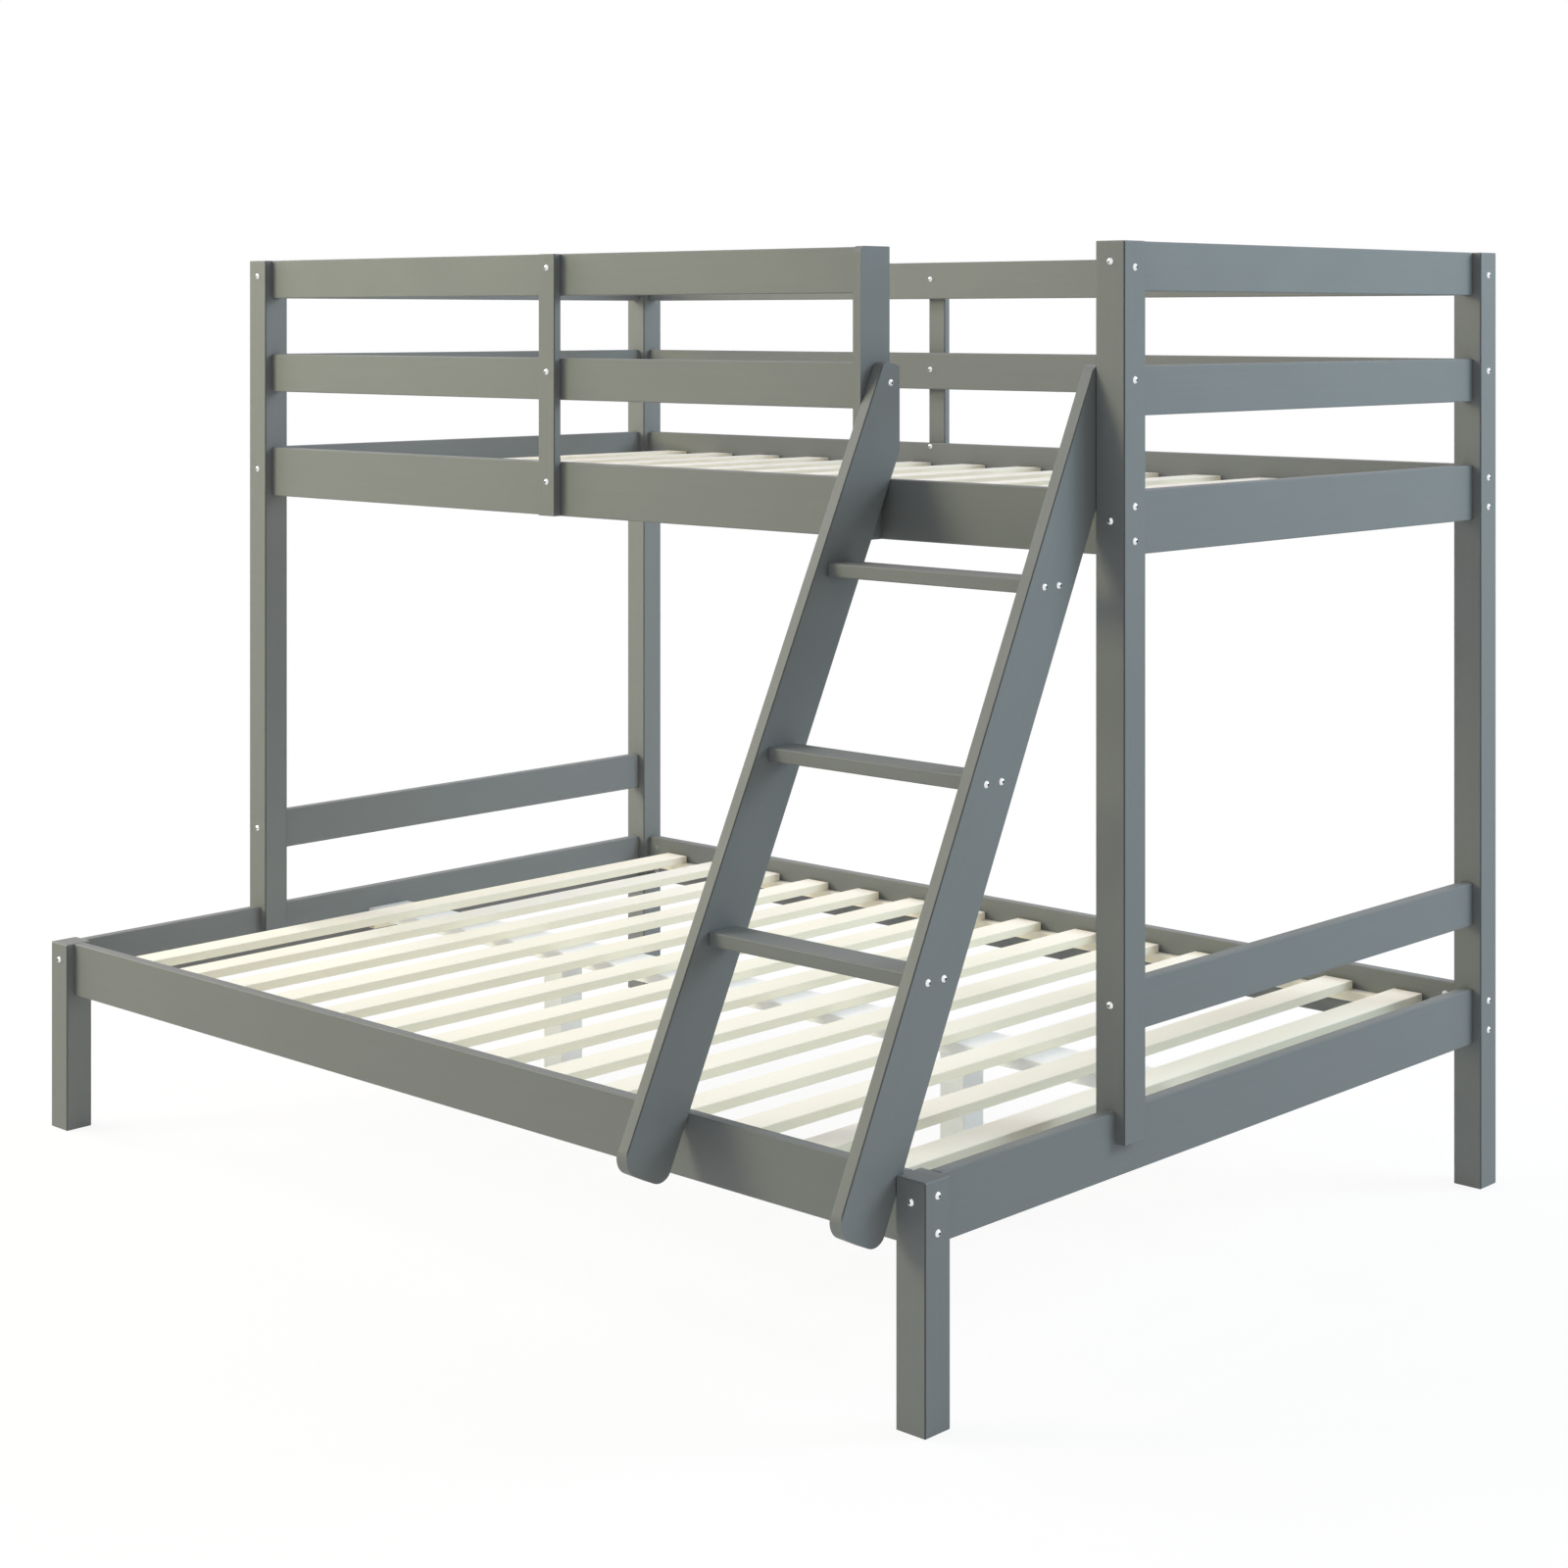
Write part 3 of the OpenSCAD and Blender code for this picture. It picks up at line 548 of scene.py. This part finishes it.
def shade_along_edges(tree, tint, edge_shade_colour, turn):
    """Paints shade along a piece's rounded edges, darkening the tone there towards the given
    colour."""
    facing = add_node(tree, "ShaderNodeNewGeometry")
    squared = add_node(
        tree,
        "ShaderNodeMapping",
        {"Vector": facing.outputs["Normal"], "Rotation": turn},
        vector_type="TEXTURE",
    )
    parts = add_node(tree, "ShaderNodeSeparateXYZ", {0: squared.outputs[0]})
    slant = add_node(
        tree,
        "ShaderNodeMath",
        {0: parts.outputs["Y"], 1: parts.outputs["Z"]},
        operation="MULTIPLY",
    )
    rounding = add_node(tree, "ShaderNodeMath", {0: slant.outputs[0]}, operation="ABSOLUTE")
    edge = add_node(
        tree,
        "ShaderNodeMapRange",
        {
            "Value": rounding.outputs[0],
            "From Min": EDGE_SHADE_FROM,
            "From Max": EDGE_SHADE_FULL,
        },
        interpolation_type="SMOOTHSTEP",
    )
    edge_shaded = add_node(
        tree,
        "ShaderNodeMix",
        {0: edge.outputs[0], 6: tint, 7: rgba(edge_shade_colour)},
        data_type="RGBA",
    )
    return edge_shaded.outputs[2]


def painted_pine(name, colour, turn, paint, shaded_edges=False):
    """Satin water-based paint, rolled on planed pine: an even colour with a low sheen, in
    which the grain under it stands up as faint long streaks and the roller leaves fine dimples."""
    material, tree = new_material(name)
    place = add_node(tree, "ShaderNodeTexCoord").outputs["Object"]
    streaks = add_node(
        tree,
        "ShaderNodeMapping",
        {
            "Vector": place,
            "Rotation": turn,
            "Scale": (paint.grain_length, paint.grain_width, paint.grain_width),
        },
        vector_type="TEXTURE",
    )
    grain = add_node(
        tree,
        "ShaderNodeTexNoise",
        {
            "Vector": streaks.outputs[0],
            "Scale": 1,
            "Detail": 3,
            "Roughness": 0.6,
            "Distortion": 0.4,
        },
    )
    dimples = add_node(
        tree,
        "ShaderNodeTexNoise",
        {"Vector": place, "Scale": 1 / paint.roller_size, "Detail": 1},
    )
    coat = add_node(
        tree,
        "ShaderNodeTexNoise",
        {"Vector": place, "Scale": 1 / COAT_PATCH, "Detail": 2, "Roughness": 0.5},
    )
    thin = [c * (1 - COAT_CONTRAST) for c in colour]
    thick = [c * (1 + COAT_CONTRAST) for c in colour]
    tone = add_node(
        tree,
        "ShaderNodeMath",
        {0: grain.outputs["Fac"], 1: coat.outputs["Fac"]},
        operation="ADD",
    )
    share = add_node(
        tree,
        "ShaderNodeMapRange",
        {"Value": tone.outputs[0], "From Min": 0.7, "From Max": 1.3},
    )
    tint = add_node(
        tree,
        "ShaderNodeMix",
        {0: share.outputs[0], 6: rgba(thin), 7: rgba(thick)},
        data_type="RGBA",
    ).outputs[2]
    # Painted shade along the rounded long edges of uprights and stiles
    if shaded_edges:
        edge_shade_colour = [c * paint.arris_shade for c in colour]
        tint = shade_along_edges(tree, tint, edge_shade_colour, turn)
    dull = add_node(
        tree,
        "ShaderNodeMapRange",
        {
            "Value": coat.outputs["Fac"],
            "From Min": 0.3,
            "From Max": 0.7,
            "To Min": paint.roughness - 0.04,
            "To Max": paint.roughness + 0.05,
        },
    )
    raised = add_node(
        tree,
        "ShaderNodeBump",
        {"Height": grain.outputs["Fac"], "Distance": paint.grain_relief, "Strength": 1},
    )
    rolled = add_node(
        tree,
        "ShaderNodeBump",
        {
            "Height": dimples.outputs["Fac"],
            "Distance": paint.roller_size * DIMPLE_RELIEF,
            "Strength": 1,
            "Normal": raised.outputs[0],
        },
    )
    finish = add_node(
        tree,
        "ShaderNodeBsdfPrincipled",
        {
            "Base Color": tint,
            "Roughness": dull.outputs[0],
            "IOR": PAINT_IOR,
            "Normal": rolled.outputs[0],
        },
    )
    add_node(tree, "ShaderNodeOutputMaterial", {"Surface": finish.outputs[0]})
    return material


def alignment(tree, normal, axis):
    """How squarely a surface faces along an axis, either way: 1 faces it, 0 runs beside it."""
    cosine = add_node(
        tree, "ShaderNodeVectorMath", {0: normal, 1: axis}, operation="DOT_PRODUCT"
    )
    squareness = add_node(
        tree, "ShaderNodeMath", {0: cosine.outputs["Value"]}, operation="ABSOLUTE"
    )
    return squareness.outputs[0]


def planed_pine(name, turn, start, spacing, timber):
    """Planed softwood without a finish: pale cream, with faint growth lines along each piece, a
    slightly different tone from piece to piece, darker sawn ends, and painted warm bounce light
    on the narrow long sides."""
    material, tree = new_material(name)
    place = add_node(tree, "ShaderNodeTexCoord").outputs["Object"]
    across = add_node(tree, "ShaderNodeSeparateXYZ", {0: place})
    # Each piece comes from another board, so the pattern jumps from one to the next
    board = add_node(
        tree,
        "ShaderNodeMapRange",
        {"Value": across.outputs[0], "From Min": start, "From Max": start + spacing},
        clamp=False,
    )
    number = add_node(tree, "ShaderNodeMath", {0: board.outputs[0]}, operation="FLOOR")
    chance = add_node(
        tree, "ShaderNodeTexWhiteNoise", {"W": number.outputs[0]}, noise_dimensions="1D"
    )
    jump = add_node(
        tree,
        "ShaderNodeVectorMath",
        {0: chance.outputs["Color"], "Scale": BOARD_JUMP},
        operation="SCALE",
    )
    shifted = add_node(
        tree, "ShaderNodeVectorMath", {0: place, 1: jump.outputs[0]}, operation="ADD"
    )
    along = add_node(
        tree,
        "ShaderNodeMapping",
        {
            "Vector": shifted.outputs[0],
            "Rotation": turn,
            "Scale": (timber.ring_length, timber.ring_width, timber.ring_width),
        },
        vector_type="TEXTURE",
    )
    rings = add_node(
        tree,
        "ShaderNodeTexWave",
        {
            "Vector": along.outputs[0],
            "Scale": RING_BANDS,
            "Distortion": 3.2,
            "Detail": 2,
            "Detail Scale": 0.5,
            "Detail Roughness": 0.5,
        },
        bands_direction="Y",
    )
    fibres = add_node(
        tree,
        "ShaderNodeMapping",
        {
            "Vector": shifted.outputs[0],
            "Rotation": turn,
            "Scale": (FIBRE_LENGTH, FIBRE_WIDTH, FIBRE_WIDTH),
        },
        vector_type="TEXTURE",
    )
    fibre = add_node(
        tree,
        "ShaderNodeTexNoise",
        {"Vector": fibres.outputs[0], "Scale": 1, "Detail": 2, "Roughness": 0.6},
    )
    lines = add_node(
        tree,
        "ShaderNodeMapRange",
        {"Value": rings.outputs["Fac"], "From Min": 0.45, "From Max": 1, "To Max": 0.8},
        interpolation_type="SMOOTHSTEP",
    )
    facing = add_node(tree, "ShaderNodeNewGeometry")
    lengthways, sideways = [
        Euler(turn).to_matrix() @ Vector(axis) for axis in ((1, 0, 0), (0, 1, 0))
    ]
    # A surface takes the tone of an end or an edge once it faces nearly that way
    at_end, at_edge = [
        add_node(
            tree,
            "ShaderNodeMapRange",
            {
                "Value": alignment(tree, facing.outputs["Normal"], axis),
                "From Min": 0.6,
                "From Max": 0.9,
            },
        )
        for axis in (lengthways, sideways)
    ]
    # Painted warm bounce light: the narrow long sides take a warmer colour
    pale = add_node(
        tree,
        "ShaderNodeMix",
        {0: at_edge.outputs[0], 6: rgba(timber.early_wood), 7: rgba(timber.warm_bounce_side)},
        data_type="RGBA",
    )
    wood = add_node(
        tree,
        "ShaderNodeMix",
        {0: lines.outputs[0], 6: pale.outputs[2], 7: rgba(timber.late_wood)},
        data_type="RGBA",
    )
    speck = add_node(
        tree,
        "ShaderNodeMapRange",
        {
            "Value": fibre.outputs["Fac"],
            "From Min": 0.3,
            "From Max": 0.7,
            "To Min": 1 - FIBRE_CONTRAST,
            "To Max": 1 + FIBRE_CONTRAST,
        },
    )
    shade = add_node(
        tree,
        "ShaderNodeMapRange",
        {"Value": chance.outputs["Value"], "To Min": DARKEST_BOARD, "To Max": 1.0},
    )
    value = add_node(
        tree, "ShaderNodeMath", {0: speck.outputs[0], 1: shade.outputs[0]}, operation="MULTIPLY"
    )
    toned = add_node(
        tree,
        "ShaderNodeHueSaturation",
        {"Value": value.outputs[0], "Color": wood.outputs[2]},
    )
    sawn = add_node(
        tree,
        "ShaderNodeMix",
        {0: at_end.outputs[0], 6: toned.outputs[0], 7: rgba(timber.end_grain)},
        data_type="RGBA",
    )
    raised = add_node(
        tree,
        "ShaderNodeBump",
        {"Height": rings.outputs["Fac"], "Distance": RING_RELIEF, "Strength": 1},
    )
    planed = add_node(
        tree,
        "ShaderNodeBump",
        {
            "Height": fibre.outputs["Fac"],
            "Distance": FIBRE_RELIEF,
            "Strength": 1,
            "Normal": raised.outputs[0],
        },
    )
    dull = add_node(
        tree,
        "ShaderNodeMapRange",
        {"Value": fibre.outputs["Fac"], "To Min": 0.55, "To Max": 0.75},
    )
    finish = add_node(
        tree,
        "ShaderNodeBsdfPrincipled",
        {
            "Base Color": sawn.outputs[2],
            "Roughness": dull.outputs[0],
            "IOR": TIMBER_IOR,
            "Normal": planed.outputs[0],
        },
    )
    add_node(tree, "ShaderNodeOutputMaterial", {"Surface": finish.outputs[0]})
    return material


def zinc_plate(name, hardware):
    """Bright zinc-plated steel, tumbled before it was plated: a pale metal with a soft mirror,
    slightly cloudy patches, and painted shade in the driving sockets."""
    material, tree = new_material(name)
    place = add_node(tree, "ShaderNodeTexCoord").outputs["Object"]
    clouds = add_node(
        tree,
        "ShaderNodeTexNoise",
        {"Vector": place, "Scale": 1 / hardware.speckle, "Detail": 2},
    )
    # Painted shade: the bottom of each driving socket and other hollows is darkened where walls
    # hide it
    hollow = add_node(
        tree,
        "ShaderNodeAmbientOcclusion",
        {"Distance": SOCKET_SHADE_REACH},
        samples=8,
        only_local=True,
    )
    unshaded = add_node(
        tree,
        "ShaderNodeMapRange",
        {"Value": hollow.outputs["AO"], "From Min": 0.55, "From Max": 0.85},
        interpolation_type="SMOOTHSTEP",
    )
    dulled = [c * 0.9 for c in hardware.zinc]
    tint = add_node(
        tree,
        "ShaderNodeMix",
        {0: clouds.outputs["Fac"], 6: rgba(dulled), 7: rgba(hardware.zinc)},
        data_type="RGBA",
    )
    socket_shaded = add_node(
        tree,
        "ShaderNodeMix",
        {0: unshaded.outputs[0], 6: rgba(hardware.socket_shade), 7: tint.outputs[2]},
        data_type="RGBA",
    )
    dull = add_node(
        tree,
        "ShaderNodeMapRange",
        {
            "Value": clouds.outputs["Fac"],
            "From Min": 0.3,
            "From Max": 0.7,
            "To Min": hardware.roughness - 0.06,
            "To Max": hardware.roughness + 0.08,
        },
    )
    grit = add_node(
        tree,
        "ShaderNodeTexNoise",
        {"Vector": place, "Scale": 1 / GRIT_SIZE, "Detail": 1},
    )
    rough = add_node(
        tree,
        "ShaderNodeBump",
        {"Height": grit.outputs["Fac"], "Distance": GRIT_RELIEF, "Strength": 1},
    )
    finish = add_node(
        tree,
        "ShaderNodeBsdfPrincipled",
        {
            "Base Color": socket_shaded.outputs[2],
            "Metallic": 1,
            "Roughness": dull.outputs[0],
            "Normal": rough.outputs[0],
        },
    )
    add_node(tree, "ShaderNodeOutputMaterial", {"Surface": finish.outputs[0]})
    return material


def fluted_beech(name, timber):
    """Turned beech dowel: warm light brown with short dark flecks."""
    material, tree = new_material(name)
    place = add_node(tree, "ShaderNodeTexCoord").outputs["Object"]
    flecks = add_node(
        tree,
        "ShaderNodeTexNoise",
        {"Vector": place, "Scale": 1 / FLECK_SIZE, "Detail": 2, "Roughness": 0.6},
    )
    fleck_colour = [c * 0.8 for c in timber.beech]
    tint = add_node(
        tree,
        "ShaderNodeMix",
        {0: flecks.outputs["Fac"], 6: rgba(fleck_colour), 7: rgba(timber.beech)},
        data_type="RGBA",
    )
    rough = add_node(
        tree,
        "ShaderNodeBump",
        {"Height": flecks.outputs["Fac"], "Distance": FLECK_RELIEF, "Strength": 1},
    )
    finish = add_node(
        tree,
        "ShaderNodeBsdfPrincipled",
        {
            "Base Color": tint.outputs[2],
            "Roughness": 0.6,
            "IOR": TIMBER_IOR,
            "Normal": rough.outputs[0],
        },
    )
    add_node(tree, "ShaderNodeOutputMaterial", {"Surface": finish.outputs[0]})
    return material


def seen_by_eye(tree):
    """Tells the rays that show a surface, straight or by gloss or glass, from those that light."""
    path = add_node(tree, "ShaderNodeLightPath")
    mirrored = add_node(
        tree,
        "ShaderNodeMath",
        {0: path.outputs["Is Glossy Ray"], 1: path.outputs["Is Transmission Ray"]},
        operation="MAXIMUM",
    )
    seen = add_node(
        tree,
        "ShaderNodeMath",
        {0: path.outputs["Is Camera Ray"], 1: mirrored.outputs[0]},
        operation="MAXIMUM",
    )
    return seen.outputs[0]


def studio_paper(name, stage):
    """Seamless white studio paper: shows plain white with the bed's soft shadow on it, and throws
    a little light back. From below it lets the view through."""
    material, tree = new_material(name)
    seen = seen_by_eye(tree)
    place = add_node(tree, "ShaderNodeTexCoord").outputs["Object"]
    reach = add_node(tree, "ShaderNodeVectorMath", {0: place}, operation="LENGTH")
    far = add_node(
        tree,
        "ShaderNodeMapRange",
        {
            "Value": reach.outputs["Value"],
            "From Min": SHADOW_FADES_FROM,
            "From Max": SHADOW_ENDS,
        },
        interpolation_type="SMOOTHSTEP",
    )
    white = rgba((1, 1, 1))
    glow = add_node(
        tree,
        "ShaderNodeEmission",
        {"Color": white, "Strength": 1 - stage.shadow_depth},
    )
    shadow = add_node(
        tree, "ShaderNodeBsdfDiffuse", {"Color": rgba([stage.shadow_depth] * 3)}
    )
    near = add_node(tree, "ShaderNodeAddShader", {0: glow.outputs[0], 1: shadow.outputs[0]})
    plain = add_node(tree, "ShaderNodeEmission", {"Color": white, "Strength": 1})
    paper = add_node(
        tree,
        "ShaderNodeMixShader",
        {0: far.outputs[0], 1: near.outputs[0], 2: plain.outputs[0]},
    )
    bounce = add_node(tree, "ShaderNodeBsdfDiffuse", {"Color": rgba([stage.floor_tone] * 3)})
    top = add_node(
        tree,
        "ShaderNodeMixShader",
        {0: seen, 1: bounce.outputs[0], 2: paper.outputs[0]},
    )
    side = add_node(tree, "ShaderNodeNewGeometry")
    from_below = add_node(
        tree,
        "ShaderNodeMath",
        {0: side.outputs["Backfacing"], 1: seen},
        operation="MULTIPLY",
    )
    clear = add_node(tree, "ShaderNodeBsdfTransparent")
    surface = add_node(
        tree,
        "ShaderNodeMixShader",
        {0: from_below.outputs[0], 1: top.outputs[0], 2: clear.outputs[0]},
    )
    add_node(tree, "ShaderNodeOutputMaterial", {"Surface": surface.outputs[0]})
    return material


class BUNK_OT_paint_frame(bpy.types.Operator):
    """Paint the posts, rails, guard posts and guard board"""

    bl_idname = "bunk.paint_frame"
    bl_label = "Paint the frame"

    def execute(self, context):
        paint = context.scene.bunk_paint
        for names, turn, way, shaded_edges in (
            (LONG_RAILS, ALONG_X, "long_rails", False),
            (END_RAILS, ALONG_Y, "end_rails", False),
            (UPRIGHTS, ALONG_Z, "uprights", True),
        ):
            name = "satin_paint_on_" + way
            dress(names, painted_pine(name, paint.frame_colour, turn, paint, shaded_edges))
        return {"FINISHED"}


class BUNK_OT_paint_ladder(bpy.types.Operator):
    """Paint the ladder's stiles and rungs"""

    bl_idname = "bunk.paint_ladder"
    bl_label = "Paint the ladder"

    def execute(self, context):
        paint = context.scene.bunk_paint
        for names, turn, way, shaded_edges in (
            (STILES, ALONG_STILE, "stiles", True),
            (RUNGS, ALONG_X, "rungs", False),
        ):
            name = "satin_paint_on_" + way
            dress(names, painted_pine(name, paint.frame_colour, turn, paint, shaded_edges))
        return {"FINISHED"}


class BUNK_OT_paint_support(bpy.types.Operator):
    """Paint the centre beam and its two legs"""

    bl_idname = "bunk.paint_support"
    bl_label = "Paint the centre support"

    def execute(self, context):
        paint = context.scene.bunk_paint
        for names, turn, way in ((BEAMS, ALONG_X, "beam"), (CENTRE_LEGS, ALONG_Z, "centre_legs")):
            dress(names, painted_pine("pale_paint_on_" + way, paint.support_colour, turn, paint))
        return {"FINISHED"}


class BUNK_OT_lay_slats(bpy.types.Operator):
    """Give the slats, the ledgers under them and the beam's cleats their planed pine"""

    bl_idname = "bunk.lay_slats"
    bl_label = "Lay the slats"

    def execute(self, context):
        timber = context.scene.bunk_timber
        low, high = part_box("lower_slats")
        pitch = (high.x - low.x - SLAT_WIDTH) / SLAT_GAPS
        first = low.x - (pitch - SLAT_WIDTH) / 2
        whole = FRAME_HIGH.x - FRAME_LOW.x
        dress(SLATS, planed_pine("planed_pine_slats", ALONG_Y, first, pitch, timber))
        dress(LEDGERS, planed_pine("planed_pine_ledgers", ALONG_X, FRAME_LOW.x, whole, timber))
        dress(CLEATS, planed_pine("planed_pine_cleats", ALONG_Y, FRAME_LOW.x, whole / 2, timber))
        return {"FINISHED"}


class BUNK_OT_fit_hardware(bpy.types.Operator):
    """Plate the bolts, inserts, barrel nuts and nuts"""

    bl_idname = "bunk.fit_hardware"
    bl_label = "Fit the hardware"

    def execute(self, context):
        dress(BOLTS + NUTS, zinc_plate("bright_zinc_plate", context.scene.bunk_hardware))
        return {"FINISHED"}


class BUNK_OT_fit_dowels(bpy.types.Operator):
    """Give the dowels their beech"""

    bl_idname = "bunk.fit_dowels"
    bl_label = "Fit the dowels"

    def execute(self, context):
        dress(DOWELS, fluted_beech("fluted_beech_dowels", context.scene.bunk_timber))
        return {"FINISHED"}


def hang_lamp(name, target, place, power, colour):
    """Hangs one square soft box that faces a point, at a place written as in LAMPS."""
    turn, rise, reach, size = place
    turn = math.radians(turn)
    rise = math.radians(rise)
    light = bpy.data.lights.new(name, "AREA")
    light.shape = "SQUARE"
    light.size = size
    light.energy = power
    light.color = colour
    away = Vector(
        (
            math.sin(turn) * math.cos(rise),
            -math.cos(turn) * math.cos(rise),
            math.sin(rise),
        )
    )
    lamp = bpy.data.objects.new(name, light)
    lamp.location = target + reach * away
    lamp.rotation_euler = (-away).to_track_quat("-Z", "Y").to_euler()
    lamp.visible_camera = False
    bpy.context.scene.collection.objects.link(lamp)


class BUNK_OT_set_stage(bpy.types.Operator):
    """Roll out the floor, hang the lamps and place the camera"""

    bl_idname = "bunk.set_stage"
    bl_label = "Set the stage"

    def execute(self, context):
        scene = context.scene
        stage = scene.bunk_stage
        middle = (FRAME_LOW + FRAME_HIGH) / 2

        shape = bmesh.new()
        bmesh.ops.create_grid(shape, x_segments=1, y_segments=1, size=FLOOR_REACH)
        bmesh.ops.translate(shape, verts=shape.verts, vec=(0, 0, -FLOOR_DROP))
        mesh = bpy.data.meshes.new("studio_floor")
        shape.to_mesh(mesh)
        shape.free()
        mesh.materials.append(studio_paper("seamless_studio_paper", stage))
        floor = bpy.data.objects.new("studio_floor", mesh)
        scene.collection.objects.link(floor)

        for name, place in LAMPS.items():
            power = getattr(stage, name + "_power")
            colour = getattr(stage, name + "_colour")
            hang_lamp(name + "_lamp", middle, place, power, colour)

        world = bpy.data.worlds.new("studio_room")
        world.use_nodes = True
        tree = world.node_tree
        tree.nodes.clear()
        seen = seen_by_eye(tree)
        level = add_node(
            tree,
            "ShaderNodeMapRange",
            {"Value": seen, "To Min": stage.room_light, "To Max": 1.0},
        )
        tint = add_node(
            tree,
            "ShaderNodeMix",
            {0: seen, 6: rgba(stage.room_colour), 7: rgba((1, 1, 1))},
            data_type="RGBA",
        )
        light = add_node(
            tree,
            "ShaderNodeBackground",
            {"Color": tint.outputs[2], "Strength": level.outputs[0]},
        )
        add_node(tree, "ShaderNodeOutputWorld", {"Surface": light.outputs[0]})
        scene.world = world
        scene.view_settings.view_transform = "Standard"

        eye = bpy.data.cameras.new("camera")
        eye.lens = stage.lens
        eye.sensor_width = SENSOR_WIDTH
        eye.shift_y = stage.drop
        eye.clip_end = VIEW_DEPTH
        camera = bpy.data.objects.new("camera", eye)
        camera.location = stage.camera_place
        camera.rotation_euler = (QUARTER, 0, stage.camera_turn)
        scene.collection.objects.link(camera)
        scene.camera = camera
        return {"FINISHED"}


class BUNK_PT_panel(bpy.types.Panel):
    """The steps that finish the bunk bed"""

    bl_idname = "BUNK_PT_panel"
    bl_label = "Bunk bed"
    bl_space_type = "VIEW_3D"
    bl_region_type = "UI"
    bl_category = "Bunk bed"

    def draw(self, context):
        layout = self.layout
        for settings in (
            context.scene.bunk_paint,
            context.scene.bunk_timber,
            context.scene.bunk_hardware,
            context.scene.bunk_stage,
        ):
            box = layout.box()
            for name in settings.__annotations__:
                box.prop(settings, name)
        for step in STEPS:
            layout.operator(step.bl_idname)


SETTINGS = {
    "bunk_paint": BunkPaint,
    "bunk_timber": BunkTimber,
    "bunk_hardware": BunkHardware,
    "bunk_stage": BunkStage,
}
STEPS = (
    BUNK_OT_paint_frame,
    BUNK_OT_paint_ladder,
    BUNK_OT_paint_support,
    BUNK_OT_lay_slats,
    BUNK_OT_fit_hardware,
    BUNK_OT_fit_dowels,
    BUNK_OT_set_stage,
)
CLASSES = (*SETTINGS.values(), *STEPS, BUNK_PT_panel)


def register():
    for item in CLASSES:
        bpy.utils.register_class(item)
    for name, group in SETTINGS.items():
        setattr(bpy.types.Scene, name, PointerProperty(type=group))


def unregister():
    for name in SETTINGS:
        delattr(bpy.types.Scene, name)
    for item in reversed(CLASSES):
        bpy.utils.unregister_class(item)


def main():
    """Runs every step in order."""
    register()
    for step in STEPS:
        group, name = step.bl_idname.split(".")
        getattr(getattr(bpy.ops, group), name)()


if __name__ == "__main__":
    main()
